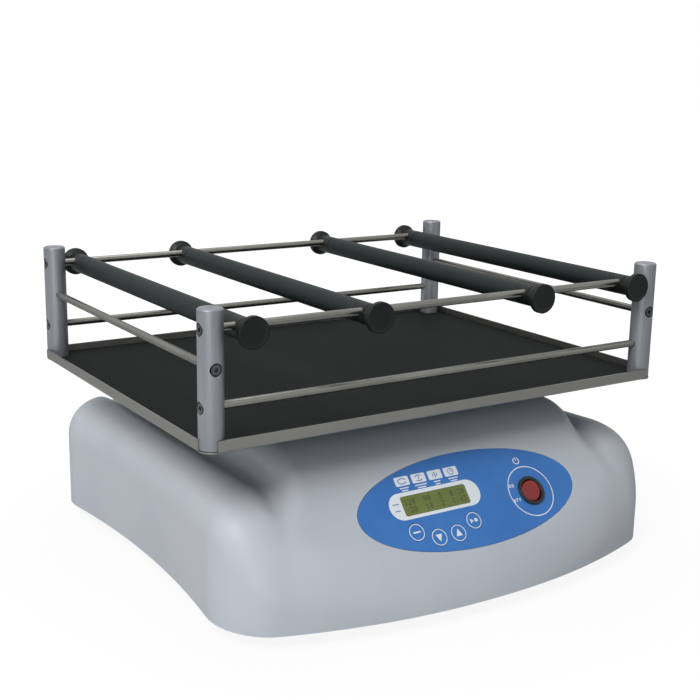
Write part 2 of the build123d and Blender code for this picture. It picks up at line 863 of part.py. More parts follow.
tray_screws = screw_group(
    post_boss_grid, level(floor_z), tray_screw_d, tray_screw_l - sheet_t, tray_screw_head_d,
    tray_screw_head_h, hex_socket, tray_screw_head_h / 2,
)
keep("tray_screws", tray_screws)

with BuildPart() as mat:
    with BuildSketch(level(floor_z)):
        Rectangle(tray_w - 2 * sheet_t - 2 * mat_gap, tray_d - 2 * sheet_t - 2 * mat_gap)
        with GridLocations(2 * post_x, 2 * post_y, 2, 2):
            Circle(post_d / 2 + mat_gap, mode=Mode.SUBTRACT)
            Rectangle(post_d, post_d, mode=Mode.SUBTRACT)
    extrude(amount=mat_t)
    with BuildSketch(level(floor_z)):
        with post_boss_grid:
            Circle(tray_screw_head_d / 2 + seat_gap)
    extrude(amount=tray_screw_head_h + seat_gap, mode=Mode.SUBTRACT)
keep("mat", mat)


def corner_post(side_x, side_y):
    """Turned post with sockets for three rods and counterbored screw holes outside."""
    x = side_x * post_x
    y = side_y * post_y
    inner = post_d / 2 - rod_socket
    rods_x = Plane(origin=(x, y, 0), x_dir=(0, 1, 0), z_dir=(side_x, 0, 0))
    rods_y = Plane(origin=(x, y, 0), x_dir=(1, 0, 0), z_dir=(0, side_y, 0))
    up = 1 if rods_x.y_dir.Z > 0 else -1
    up_y = 1 if rods_y.y_dir.Z > 0 else -1
    with BuildPart() as post:
        with BuildSketch(level(floor_z, x, y)):
            Circle(post_d / 2)
        extrude(amount=post_top_z - floor_z)
        fillet(post.edges().filter_by(GeomType.CIRCLE).sort_by(Axis.Z)[-1], post_edge_r)
        for plane, heights in (
            (rods_x, [(0, up * upper_z), (0, up * lower_z)]),
            (rods_y, [(0, up_y * side_z)]),
        ):
            with BuildSketch(plane.offset(post_d / 2)):
                with Locations(*heights):
                    Circle(post_bore_d / 2)
            extrude(amount=-post_bore_h, mode=Mode.SUBTRACT)
            with BuildSketch(plane.offset(post_d / 2)):
                with Locations(*heights):
                    Circle(post_screw_d / 2 + seat_gap)
            extrude(amount=-post_d, mode=Mode.SUBTRACT)
            with BuildSketch(plane.offset(-post_d / 2)):
                with Locations(*heights):
                    Circle(rod_d / 2 + seat_gap / 2)
            extrude(amount=post_d / 2 - inner, mode=Mode.SUBTRACT)
    return post


for post_name, side_x, side_y in (
    ("front_left_post", -1, -1),
    ("front_right_post", 1, -1),
    ("rear_left_post", -1, 1),
    ("rear_right_post", 1, 1),
):
    keep(post_name, corner_post(side_x, side_y))

rod_end_x = post_x - post_d / 2 + rod_socket
rod_end_y = post_y - post_d / 2 + rod_socket
thread_l = post_screw_l - (post_d - post_bore_h - rod_socket)
with BuildPart() as long_rods:
    with BuildSketch(along_x(-rod_end_x, 0, 0)):
        with Locations(
            (-post_y, upper_z), (post_y, upper_z), (-post_y, lower_z), (post_y, lower_z)
        ):
            Circle(rod_d / 2)
    extrude(amount=2 * rod_end_x)
    for x, sense in ((-rod_end_x, 1), (rod_end_x, -1)):
        with BuildSketch(along_x(x, 0, 0)):
            with Locations(
                (-post_y, upper_z), (post_y, upper_z), (-post_y, lower_z), (post_y, lower_z)
            ):
                Circle(post_screw_d / 2 + seat_gap / 2)
        extrude(amount=sense * (thread_l + seat_gap), mode=Mode.SUBTRACT)
keep("long_rods", long_rods)

with BuildPart() as side_rods:
    with BuildSketch(along_y(0, -rod_end_y, 0)):
        with Locations((-post_x, side_z), (post_x, side_z)):
            Circle(rod_d / 2)
    extrude(amount=2 * rod_end_y)
    for y, sense in ((-rod_end_y, 1), (rod_end_y, -1)):
        with BuildSketch(along_y(0, y, 0)):
            with Locations((-post_x, side_z), (post_x, side_z)):
                Circle(post_screw_d / 2 + seat_gap / 2)
        extrude(amount=sense * (thread_l + seat_gap), mode=Mode.SUBTRACT)
keep("side_rods", side_rods)

head_seat_x = post_x + post_d / 2 - post_bore_h
head_seat_y = post_y + post_d / 2 - post_bore_h
with BuildPart() as post_screws:
    for sense in (-1, 1):
        x_plane = Plane(origin=(sense * head_seat_x, 0, 0), x_dir=(0, sense, 0), z_dir=(sense, 0, 0))
        y_plane = Plane(origin=(0, sense * head_seat_y, 0), x_dir=(-sense, 0, 0), z_dir=(0, sense, 0))
        long_places = Locations(
            (-post_y, upper_z), (post_y, upper_z), (-post_y, lower_z), (post_y, lower_z)
        )
        side_places = Locations((-post_x, side_z), (post_x, side_z))
        for plane, places in ((x_plane, long_places), (y_plane, side_places)):
            with BuildSketch(plane):
                with places:
                    Circle(post_screw_head_d / 2)
            extrude(amount=post_screw_head_h)
            with BuildSketch(plane):
                with places:
                    Circle(post_screw_d / 2)
            extrude(amount=-post_screw_l)
            with BuildSketch(plane.offset(post_screw_head_h)):
                with places:
                    RegularPolygon(hex_socket / 2, 6, major_radius=False)
            extrude(amount=-hex_depth, mode=Mode.SUBTRACT)
keep("post_screws", post_screws)

# Clamp bars, each a sleeve between two clamp ends that slide on the upper rods
sleeve_end_y = post_y - bar_sleeve_end
clamp_end_y = post_y + bar_end_l
stud_tip_y = post_y + rod_d / 2 + moving_gap
knob_y = clamp_end_y + moving_gap


def turned(x, z, side, profile):
    """Revolve a half profile, given as (distance from the axis, y), about a bar's axis."""
    with BuildPart() as piece:
        with BuildSketch(Plane(origin=(x, 0, z), x_dir=(1, 0, 0), z_dir=(0, 0, 1))):
            with BuildLine():
                Polyline(*[(r, side * y) for r, y in profile], close=True)
            make_face()
        revolve(axis=Axis((x, 0, z), (0, 1, 0)))
    return piece


def clamp_ends(x):
    groove_y = post_y + bar_end_edge
    profile = [
        (0, sleeve_end_y - spigot_l), (bar_bore_d / 2 - seat_gap, sleeve_end_y - spigot_l),
        (bar_bore_d / 2 - seat_gap, sleeve_end_y), (bar_d / 2, sleeve_end_y),
        (bar_d / 2, groove_y), (bar_d / 2 - groove_depth, groove_y),
        (bar_d / 2 - groove_depth, groove_y + groove_w), (bar_d / 2, groove_y + groove_w),
        (bar_d / 2, clamp_end_y), (0, clamp_end_y),
    ]
    front = turned(x, bar_z, -1, profile)
    back = turned(x, bar_z, 1, profile)
    with BuildPart() as ends:
        add(front.part)
        add(back.part)
        with BuildSketch(along_x(x - bar_d, 0, 0)):
            with Locations((-post_y, upper_z), (post_y, upper_z)):
                Circle(rod_d / 2 + rod_slide_gap)
        extrude(amount=2 * bar_d, mode=Mode.SUBTRACT)
        with BuildSketch(along_y(x, -clamp_end_y, bar_z)):
            Circle(stud_d / 2 + stud_gap)
        extrude(amount=bar_end_l, mode=Mode.SUBTRACT)
        with BuildSketch(along_y(x, clamp_end_y, bar_z)):
            Circle(stud_d / 2 + stud_gap)
        extrude(amount=-bar_end_l, mode=Mode.SUBTRACT)
    return ends


def knob(x, side):
    rim_y = knob_y + knob_l - knob_rim_l
    face_y = knob_y + knob_l
    profile = [
        (0, stud_tip_y), (stud_d / 2, stud_tip_y), (stud_d / 2, knob_y),
        (knob_neck_d / 2, knob_y), (knob_d / 2, rim_y), (knob_d / 2, face_y - knob_edge_r),
        (knob_d / 2 - knob_edge_r, face_y), (0, face_y),
    ]
    return turned(x, bar_z, side, profile)


for number, x in enumerate(bar_places, start=1):
    with BuildPart() as sleeve:
        with BuildSketch(along_y(x, -sleeve_end_y, bar_z)):
            Circle(bar_d / 2)
            Circle(bar_bore_d / 2, mode=Mode.SUBTRACT)
        extrude(amount=2 * sleeve_end_y)
    keep(f"clamp_bar_{number}", sleeve)
    keep(f"clamp_ends_{number}", clamp_ends(x))
    keep(f"front_knob_{number}", knob(x, -1))
    keep(f"rear_knob_{number}", knob(x, 1))

# Control panel
with BuildPart() as panel_overlay:
    with BuildSketch(panel_level(-panel_recess)):
        Ellipse(panel_w / 2 - overlay_gap, panel_h / 2 - overlay_gap)
        with Locations((window_x, window_s)):
            Rectangle(window_w, window_h, mode=Mode.SUBTRACT)
        with Locations(*key_places.values()):
            Circle(key_d / 2 + key_hole_gap, mode=Mode.SUBTRACT)
        with Locations((rocker_x, rocker_s)):
            Circle(barrel_d / 2 + seat_gap, mode=Mode.SUBTRACT)
    extrude(amount=overlay_t)
keep("panel_overlay", panel_overlay)

with BuildPart() as display_window:
    with BuildSketch(panel_level(-panel_recess)):
        with Locations((window_x, window_s)):
            Rectangle(window_w - 2 * seat_gap, window_h - 2 * seat_gap)
    extrude(amount=overlay_t)
keep("display_window", display_window)

with BuildPart() as display_module:
    with BuildSketch(panel_level(-cover_wall - moving_gap)):
        with Locations((window_x, display_s)):
            Rectangle(display_w, display_h)
    extrude(amount=cover_wall + moving_gap - board_depth)
    with BuildSketch(panel_level(-cover_wall - moving_gap)):
        with Locations((window_x, window_s)):
            Rectangle(
                window_w - 2 * window_lap - 2 * seat_gap, window_h - 2 * window_lap - 2 * seat_gap
            )
    extrude(amount=cover_wall + moving_gap - panel_recess - seat_gap)
keep("display_module", display_module)

with BuildPart() as control_board:
    with BuildSketch(panel_level(-board_depth)):
        with Locations((board_x, board_s)):
            Rectangle(board_w, board_h)
    extrude(amount=-board_t)
    with BuildSketch(panel_level(-board_depth)):
        with Locations(*key_places.values()):
            Rectangle(switch_w, switch_w)
    extrude(amount=switch_h)
keep("control_board", control_board)

for key_name, (x, s) in key_places.items():
    with BuildPart() as key:
        with BuildSketch(panel_level(overlay_top + key_proud)):
            with Locations((x, s)):
                Circle(key_d / 2)
        extrude(amount=key_flange_n - overlay_top - key_proud)
        chamfer(key.faces().sort_by(Axis.Y)[0].edges(), key_edge)
        with BuildSketch(panel_level(key_flange_n)):
            with Locations((x, s)):
                Circle(key_flange_d / 2)
        extrude(amount=-key_flange_t)
        with BuildSketch(panel_level(key_flange_n - key_flange_t)):
            with Locations((x, s)):
                Circle(key_stem_d / 2)
        extrude(amount=stem_tip_n - key_flange_n + key_flange_t)
    keep(key_name, key)

# Power rocker: round frame clipped through the panel, rocker on two trunnions
pivot_n = overlay_top - rocker_depth
with BuildPart() as rocker_frame:
    with BuildSketch(panel_level(overlay_top)):
        with Locations((rocker_x, rocker_s)):
            Circle(bezel_d / 2)
    extrude(amount=bezel_h)
    chamfer(rocker_frame.faces().sort_by(Axis.Z)[-1].edges(), bezel_edge)
    with BuildSketch(panel_level(overlay_top)):
        with Locations((rocker_x, rocker_s)):
            Circle(barrel_d / 2)
    extrude(amount=-barrel_l)
    with BuildSketch(panel_level(overlay_top + bezel_h)):
        with Locations((rocker_x, rocker_s)):
            Circle(pocket_d / 2)
    extrude(amount=-pocket_h - bezel_h, mode=Mode.SUBTRACT)
    with BuildSketch(along_x(*panel_plane.from_local_coords((rocker_x, rocker_s, pivot_n)))):
        Circle(trunnion_d / 2 + trunnion_gap)
    extrude(amount=barrel_d, both=True, mode=Mode.SUBTRACT)
keep("rocker_frame", rocker_frame)

# The rocker rests switched off, with its lower edge pressed in
rocker_pivot = panel_plane.from_local_coords((rocker_x, rocker_s, pivot_n))
rocker_plane = Plane(
    origin=rocker_pivot,
    x_dir=(1, 0, 0),
    z_dir=panel_plane.z_dir.rotate(Axis.X, rocker_tilt),
)
with BuildPart() as rocker_button:
    with BuildSketch(rocker_plane.offset(-rocker_t / 2)):
        Circle(rocker_d / 2)
    extrude(amount=rocker_t)
    with BuildSketch(along_x(*rocker_pivot)):
        Circle(trunnion_d / 2)
    extrude(amount=barrel_d / 2 - seat_gap, both=True)
keep("rocker_button", rocker_button)

with BuildPart() as dc_inlet:
    seat_y = cover_d / 2 - inlet_flange_h
    with BuildSketch(along_y(drive_x, seat_y, inlet_z)):
        Circle(inlet_flange_d / 2)
    extrude(amount=inlet_flange_h)
    with BuildSketch(along_y(drive_x, seat_y, inlet_z)):
        Circle(inlet_barrel_d / 2)
    extrude(amount=-inlet_barrel_l)
    with BuildSketch(along_y(drive_x, cover_d / 2, inlet_z)):
        Circle(inlet_socket_d / 2)
        Circle(inlet_pin_d / 2, mode=Mode.SUBTRACT)
    extrude(amount=-inlet_socket_l, mode=Mode.SUBTRACT)
keep("dc_inlet", dc_inlet)
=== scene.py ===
import bmesh
import bpy
import numpy as np
from math import cos, hypot, pi, radians, sin, tan
from mathutils import Matrix, Vector


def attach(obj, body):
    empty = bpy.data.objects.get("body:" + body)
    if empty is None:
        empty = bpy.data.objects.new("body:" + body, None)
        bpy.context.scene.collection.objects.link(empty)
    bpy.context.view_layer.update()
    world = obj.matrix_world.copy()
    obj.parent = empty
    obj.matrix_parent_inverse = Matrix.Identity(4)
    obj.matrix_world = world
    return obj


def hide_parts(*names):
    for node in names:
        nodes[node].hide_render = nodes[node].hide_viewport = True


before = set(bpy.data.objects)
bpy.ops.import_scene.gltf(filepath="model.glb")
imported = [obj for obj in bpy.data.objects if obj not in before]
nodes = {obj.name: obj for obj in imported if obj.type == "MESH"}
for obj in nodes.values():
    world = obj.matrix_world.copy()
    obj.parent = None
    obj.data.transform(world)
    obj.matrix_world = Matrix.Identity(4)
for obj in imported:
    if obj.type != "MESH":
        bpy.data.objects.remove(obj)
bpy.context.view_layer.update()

# Sizes in millimetres, drawn about the middle of the platform as in the part's source
MM = 0.001
DRIVE_X = 10.0
SKIRT_Z = 12.0
COVER_HALF = 205.0
FRONT_Y, BACK_Y = -205.0, 205.0
FRONT_BOW, BACK_BOW, WAIST, LOBE = 44.0, 20.0, 10.0, 6.5
CORNER_R = 40.0
WALL = 3.0
COVER_TOP = 130.0
VALLEY_X, VALLEY_Z = 155.0, 101.5     # floor beside the raised block
CROWN_RUN, CROWN_RISE = 17.0, 6.5     # from the valley up to the shoulder's crown
BLOCK_X, BLOCK_Z = 154.0, 80.0        # foot of the block's side
BLOCK_LEAN = radians(9.1)
SHOULDER_R, LOW_BROW_R, BROW_R = 33.0, 22.0, 18.0
BLOCK_EDGE_R, BLOCK_BACK_R, VALLEY_R = 14.0, 30.0, 9.0
TURN = 24.0                           # width over which the edges' radii change
ORBIT_HOLE_X, ORBIT_HOLE_Y, ORBIT_HOLE_R = 62, 72, 21
INLET_Z, INLET_R = 45, 7.6
TILT = radians(41.0)
SLOPE_Y, SLOPE_Z = -165.0, 77.0
PANEL_X, PANEL_Z = 17.0, 79.6
PANEL = Vector((PANEL_X, SLOPE_Y + tan(TILT) * (PANEL_Z - SLOPE_Z), PANEL_Z))
PANEL_A, PANEL_B = 106.0, 40.0        # half axes of the oval recess
WINDOW_X, WINDOW_S, WINDOW_W, WINDOW_H = -32.5, 4.7, 62.5, 16.3
KEY_HOLE_R, BARREL_HOLE_R = 7.3, 10.5
FILM_GAP = 0.3
ROCKER = (59.5, -5.0)
KEYS = {
    "select_key": (-60.3, -17.0),
    "down_key": (-42.3, -24.7),
    "up_key": (-24.0, -24.9),
    "start_key": (-5.8, -18.0),
}
FOOT_X, FOOT_Y, FOOT_R, FOOT_H = 155, 133, 14.5, 13.0
PANEL_U = Vector((1, 0, 0))
PANEL_V = Vector((0, sin(TILT), cos(TILT)))
PANEL_N = Vector((0, -cos(TILT), sin(TILT)))
RECESS = 1.2
FILM_TOP = -0.4
PRINT = 0.05
POST_X, POST_Y, POST_R = 204.6, 151.6, 9.2
POST_FOOT, POST_TOP = 153.2, 252.0
ROD_R = 3
LONG_ROD_END, SIDE_ROD_END = 198.6, 145.6
UPPER_Z, SIDE_Z, LOWER_Z = 237.6, 210.65, 183.1
BAR_Z = 235.1
BAR_X = (-180.0, -77.0, 77.0, 180.0)


# Mesh helpers
def finish_mesh(name, bm, material, body, smooth=35.0, replaces=()):
    """Turn a bmesh in millimetres into a piece of the scene that rides on a body."""
    bmesh.ops.recalc_face_normals(bm, faces=bm.faces)
    mesh = bpy.data.meshes.new(name)
    bm.transform(Matrix.Scale(MM, 4))
    bm.to_mesh(mesh)
    bm.free()
    obj = bpy.data.objects.new(name, mesh)
    bpy.context.scene.collection.objects.link(obj)
    mesh.materials.append(material)
    if smooth:
        mesh.polygons.foreach_set("use_smooth", [True] * len(mesh.polygons))
        mesh.set_sharp_from_angle(angle=radians(smooth))
    if body:
        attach(obj, body)
    if replaces:
        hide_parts(*replaces)
    return obj


def baked(obj):
    """Apply an object's modifiers to its own mesh."""
    graph = bpy.context.evaluated_depsgraph_get()
    mesh = bpy.data.meshes.new_from_object(obj.evaluated_get(graph))
    obj.modifiers.clear()
    obj.data = mesh


def frame_at(origin, axis, side=(1, 0, 0)):
    """Matrix whose local Z is the axis and whose X lies towards side."""
    z = Vector(axis).normalized()
    x = Vector(side)
    x = (x - z * x.dot(z)).normalized()
    y = z.cross(x)
    m = Matrix((x, y, z)).transposed().to_4x4()
    m.translation = Vector(origin)
    return m


def lathe(bm, profile, matrix, segments=72, closed=True):
    """Revolve (radius, height) points about local Z; a radius of 0 makes a pole."""
    rings = []
    for r, h in profile:
        if r < 1e-6:
            rings.append([bm.verts.new(matrix @ Vector((0, 0, h)))])
        else:
            rings.append([
                bm.verts.new(matrix @ Vector((r * cos(2 * pi * i / segments),
                                              r * sin(2 * pi * i / segments), h)))
                for i in range(segments)
            ])
    pairs = list(zip(rings, rings[1:]))
    if closed and profile[0][0] > 0 and profile[-1][0] > 0:
        pairs.append((rings[-1], rings[0]))
    for a, b in pairs:
        for i in range(segments):
            j = (i + 1) % segments
            if len(a) == 1 and len(b) == 1:
                continue
            if len(a) == 1:
                bm.faces.new((a[0], b[i], b[j]))
            elif len(b) == 1:
                bm.faces.new((a[i], b[0], a[j]))
            else:
                bm.faces.new((a[i], b[i], b[j], a[j]))


def disc(radius, low, high):
    """Profile of a plain cylinder for lathe."""
    return [(0, low), (radius, low), (radius, high), (0, high)]


def rounded(points, radius, steps=5):
    """Round the inner corners of an open profile of (r, h) points."""
    out = [points[0]]
    for before, at, after in zip(points, points[1:], points[2:]):
        p, a, b = Vector(at), Vector(before), Vector(after)
        u, v = a - p, b - p
        lu, lv = u.length, v.length
        if lu < 1e-6 or lv < 1e-6:
            out.append(at)
            continue
        u, v = u / lu, v / lv
        turn = u.angle(v, 0)
        if turn > radians(170):
            out.append(at)
            continue
        r = min(radius, 0.45 * min(lu, lv) * tan(turn / 2))
        d = r / tan(turn / 2)
        start, end = p + u * d, p + v * d
        centre = p + (u + v).normalized() * (r / sin(turn / 2))
        for k in range(steps + 1):
            q = start.lerp(end, k / steps)
            out.append(tuple(centre + (q - centre).normalized() * r))
    out.append(points[-1])
    return out


def circle(x, y, r, n=96):
    return [(x + r * cos(2 * pi * i / n), y + r * sin(2 * pi * i / n)) for i in range(n)]


def ellipse(x, y, a, b, n=240):
    return [(x + a * cos(2 * pi * i / n), y + b * sin(2 * pi * i / n)) for i in range(n)]


def rounded_box(x, y, w, h, r, n=10):
    out = []
    for cx, cy, start in ((1, 1, 0), (-1, 1, 90), (-1, -1, 180), (1, -1, 270)):
        for k in range(n + 1):
            a = radians(start + 90 * k / n)
            out.append((x + cx * (w / 2 - r) + r * cos(a), y + cy * (h / 2 - r) + r * sin(a)))
    return out


def add_plate(bm, outer, holes, low, high, place):
    """Solid plate between two heights from an outline with holes, mapped by place(x, y, h)."""
    part = bmesh.new()
    for loop in [outer] + list(holes):
        ring = [part.verts.new((x, y, high)) for x, y in loop]
        for a, b in zip(ring, ring[1:] + ring[:1]):
            part.edges.new((a, b))
    bmesh.ops.triangle_fill(part, use_beauty=True, use_dissolve=False, edges=part.edges[:])
    grown = bmesh.ops.extrude_face_region(part, geom=part.faces[:])
    for v in grown["geom"]:
        if isinstance(v, bmesh.types.BMVert):
            v.co.z = low
    bmesh.ops.recalc_face_normals(part, faces=part.faces)
    made = {v: bm.verts.new(place(v.co.x, v.co.y, v.co.z)) for v in part.verts}
    for f in part.faces:
        bm.faces.new([made[v] for v in f.verts])
    part.free()


def on_panel(x, s, n):
    return PANEL + PANEL_U * x + PANEL_V * s + PANEL_N * n


# Materials
def shader(name):
    material = bpy.data.materials.new(name)
    material.use_nodes = True
    tree = material.node_tree
    tree.nodes.clear()
    out = tree.nodes.new("ShaderNodeOutputMaterial")
    bsdf = tree.nodes.new("ShaderNodeBsdfPrincipled")
    tree.links.new(bsdf.outputs["BSDF"], out.inputs["Surface"])
    return material, tree, bsdf


def noise(tree, scale, detail=4.0, stretch=(1, 1, 1), rough=0.55):
    coords = tree.nodes.new("ShaderNodeTexCoord")
    mapping = tree.nodes.new("ShaderNodeMapping")
    mapping.inputs["Scale"].default_value = stretch
    texture = tree.nodes.new("ShaderNodeTexNoise")
    texture.inputs["Scale"].default_value = scale
    texture.inputs["Detail"].default_value = detail
    texture.inputs["Roughness"].default_value = rough
    tree.links.new(coords.outputs["Object"], mapping.inputs["Vector"])
    tree.links.new(mapping.outputs["Vector"], texture.inputs["Vector"])
    return texture.outputs["Fac"]


def spread(tree, value, low, high, start=0.3, end=0.7):
    node = tree.nodes.new("ShaderNodeMapRange")
    node.inputs["From Min"].default_value = start
    node.inputs["From Max"].default_value = end
    node.inputs["To Min"].default_value = low
    node.inputs["To Max"].default_value = high
    tree.links.new(value, node.inputs["Value"])
    return node.outputs["Result"]


def blend_colours(tree, fac, a, b):
    node = tree.nodes.new("ShaderNodeMix")
    node.data_type = "RGBA"
    tree.links.new(fac, node.inputs["Factor"])
    for socket, colour in ((node.inputs[6], a), (node.inputs[7], b)):
        if isinstance(colour, tuple):
            socket.default_value = (*colour, 1)
        else:
            tree.links.new(colour, socket)
    return node.outputs[2]


def bump(tree, value, strength, distance, normal=None):
    node = tree.nodes.new("ShaderNodeBump")
    node.inputs["Strength"].default_value = strength
    node.inputs["Distance"].default_value = distance
    tree.links.new(value, node.inputs["Height"])
    if normal:
        tree.links.new(normal, node.inputs["Normal"])
    return node.outputs["Normal"]


def coated(name, colour, shade, rough, grain, depth, metallic=0.0, stretch=(1, 1, 1),
           spread_rough=0.06, large=14.0, coat=0.0, edge_highlight=None, specular=0.5):
    """Finish with fine grain, faint large-scale variation and, if asked, a painted highlight on convex
    edges.
    """
    material, tree, bsdf = shader(name)
    fine = noise(tree, grain, 3.0, stretch)
    broad = noise(tree, large, 2.0)
    colours = blend_colours(tree, spread(tree, broad, 0, 1), colour, shade)
    mixed = blend_colours(tree, spread(tree, fine, 0, 0.35), colours, shade)
    if edge_highlight:
        geometry = tree.nodes.new("ShaderNodeNewGeometry")
        # Painted highlight: convex edges, found by pointiness, are lightened towards the given edge
        # colour
        edge_highlight_mask = spread(tree, geometry.outputs["Pointiness"], 0, 0.7, 0.52, 0.6)
        mixed = blend_colours(tree, edge_highlight_mask, mixed, edge_highlight)
    tree.links.new(mixed, bsdf.inputs["Base Color"])
    tree.links.new(
        spread(tree, fine, rough - spread_rough, rough + spread_rough), bsdf.inputs["Roughness"]
    )
    tree.links.new(bump(tree, fine, 0.35, depth), bsdf.inputs["Normal"])
    bsdf.inputs["Metallic"].default_value = metallic
    bsdf.inputs["Coat Weight"].default_value = coat
    bsdf.inputs["Specular IOR Level"].default_value = specular
    return material


def tint(r, g, b):
    """Linear colour from 8-bit display values."""
    return tuple(((c / 255 + 0.055) / 1.055) ** 2.4 if c > 10 else c / 3294.6 for c in (r, g, b))


housing_mat = coated("housing_plastic", tint(190, 195, 201), tint(184, 189, 196), 0.45, 1500, 0.00002,
                     specular=0.35)
base_mat = coated("base_sheet_paint", tint(150, 152, 154), tint(138, 140, 143), 0.5, 900, 0.00003)
film_mat = coated("panel_film", tint(58, 120, 192), tint(52, 112, 184), 0.38, 2400, 0.000008, large=30)
print_mat = coated("white_print", tint(236, 240, 244), tint(224, 229, 235), 0.45, 2600, 0.000005)
blue_print_mat = coated("blue_print", tint(88, 132, 184), tint(80, 124, 176), 0.45, 2600, 0.000005)
lcd_mat = coated("lcd_glass", tint(112, 122, 58), tint(103, 113, 52), 0.3, 500, 0.000004, large=60)
lcd_ink_mat = coated("lcd_segments", tint(34, 40, 22), tint(30, 36, 20), 0.35, 900, 0.000004)
black_mat = coated("black_moulding", tint(26, 28, 28), tint(20, 22, 22), 0.38, 1300, 0.00002)
clamp_mat = coated("clamp_moulding", tint(20, 23, 23), tint(15, 18, 18), 0.45, 1200, 0.00003, large=40,
                   specular=0.3)
grip_mat = coated("grip_sleeve", tint(27, 33, 33), tint(22, 28, 28), 0.55, 1800, 0.00005, large=25,
                  specular=0.3)
mat_mat = coated("mat_rubber", tint(17, 21, 21), tint(13, 17, 17), 0.75, 1100, 0.00012, large=18,
                 specular=0.15)
foot_mat = coated("foot_rubber", tint(34, 36, 36), tint(26, 28, 28), 0.62, 1500, 0.00004)
red_mat = coated("rocker_red", tint(150, 22, 26), tint(120, 14, 18), 0.22, 1200, 0.000008, coat=0.3)
# The lighter edge colour is a painted highlight along the posts' edges
post_mat = coated("anodised_post", tint(152, 155, 160), tint(138, 141, 147), 0.42, 900, 0.00002,
                  metallic=0.6, stretch=(1, 1, 0.12), edge_highlight=tint(188, 190, 194))
rod_mat = coated("drawn_rod", tint(158, 157, 152), tint(134, 133, 128), 0.3, 1400, 0.00001,
                 metallic=1.0, stretch=(0.05, 1, 1))
side_rod_mat = coated("drawn_side_rod", tint(158, 157, 152), tint(134, 133, 128), 0.3, 1400,
                      0.00001, metallic=1.0, stretch=(1, 0.05, 1))
# The lighter edge colour is a painted highlight along the tray's rim edges
tray_mat = coated("brushed_tray", tint(124, 124, 117), tint(104, 104, 99), 0.36, 1600, 0.000015,
                  metallic=1.0, stretch=(0.06, 0.06, 1), edge_highlight=tint(170, 169, 164))
screw_mat = coated("screw_steel", tint(118, 119, 121), tint(96, 97, 99), 0.38, 1500, 0.00001,
                   metallic=1.0)
inner_mat = coated("machined_aluminium", tint(176, 178, 180), tint(160, 162, 165), 0.34, 900,
                   0.00001, metallic=1.0, stretch=(1, 1, 0.2))
steel_mat = coated("machined_steel", tint(150, 150, 152), tint(128, 128, 130), 0.3, 1000, 0.00001,
                   metallic=1.0)
motor_mat = coated("motor_paint", tint(46, 47, 50), tint(36, 37, 40), 0.45, 1400, 0.00003)
belt_mat = coated("belt_rubber", tint(34, 34, 35), tint(26, 26, 27), 0.65, 1500, 0.00005)
board_mat = coated("circuit_board", tint(40, 102, 62), tint(30, 88, 52), 0.4, 600, 0.00001)

# Housing skin
def bow_radius(half_chord, bow):
    return (half_chord ** 2 + bow ** 2) / (2 * bow)


END_X = COVER_HALF + LOBE
END_FRONT, END_BACK = FRONT_Y + FRONT_BOW, BACK_Y - BACK_BOW
MIDDLE_Y = (END_FRONT + END_BACK) / 2
FRONT_R = bow_radius(END_X, FRONT_BOW)
BACK_R = bow_radius(END_X, BACK_BOW)
SIDE_R = bow_radius((END_BACK - END_FRONT) / 2, WAIST + LOBE)


def round_max(a, b, r):
    """Intersection of two fields with their common edge rounded to r."""
    return np.minimum(np.maximum(a, b), -r) + np.hypot(np.maximum(a + r, 0), np.maximum(b + r, 0))


def round_min(a, b, r):
    """Union of two fields with a fillet of r between them."""
    return -round_max(-a, -b, r)


def plan_field(x, y):
    front = np.hypot(x, y - (FRONT_Y + FRONT_R)) - FRONT_R
    back = np.hypot(x, y - (BACK_Y - BACK_R)) - BACK_R
    side = SIDE_R - np.hypot(np.abs(x) - (COVER_HALF - WAIST + SIDE_R), y - MIDDLE_Y)
    return round_max(np.maximum(front, back), side, CORNER_R)


def cover_field(x, y, z):
    """Signed distance, near enough, to the housing's outer skin."""
    u = np.abs(x)
    plan = plan_field(x, y)
    slope = -(y - SLOPE_Y) * cos(TILT) + (z - SLOPE_Z) * sin(TILT)
    rise = np.clip((u - VALLEY_X) / CROWN_RUN, 0, 1)
    top = z - (VALLEY_Z + CROWN_RISE * rise * rise * (3 - 2 * rise))
    side = (u - BLOCK_X) * cos(BLOCK_LEAN) + (z - BLOCK_Z) * sin(BLOCK_LEAN)
    block = round_max(side, z - COVER_TOP, BLOCK_EDGE_R)
    # The two levels join before the walls and the slope cut them, so that those stay true
    roof = round_min(top, block, VALLEY_R)
    outward = np.clip((u - BLOCK_X + TURN / 2 + 4) / TURN, 0, 1)
    edge_r = BLOCK_BACK_R + (SHOULDER_R - BLOCK_BACK_R) * outward
    brow_r = BROW_R + (LOW_BROW_R - BROW_R) * outward
    return round_max(round_max(plan, roof, edge_r), slope, brow_r)


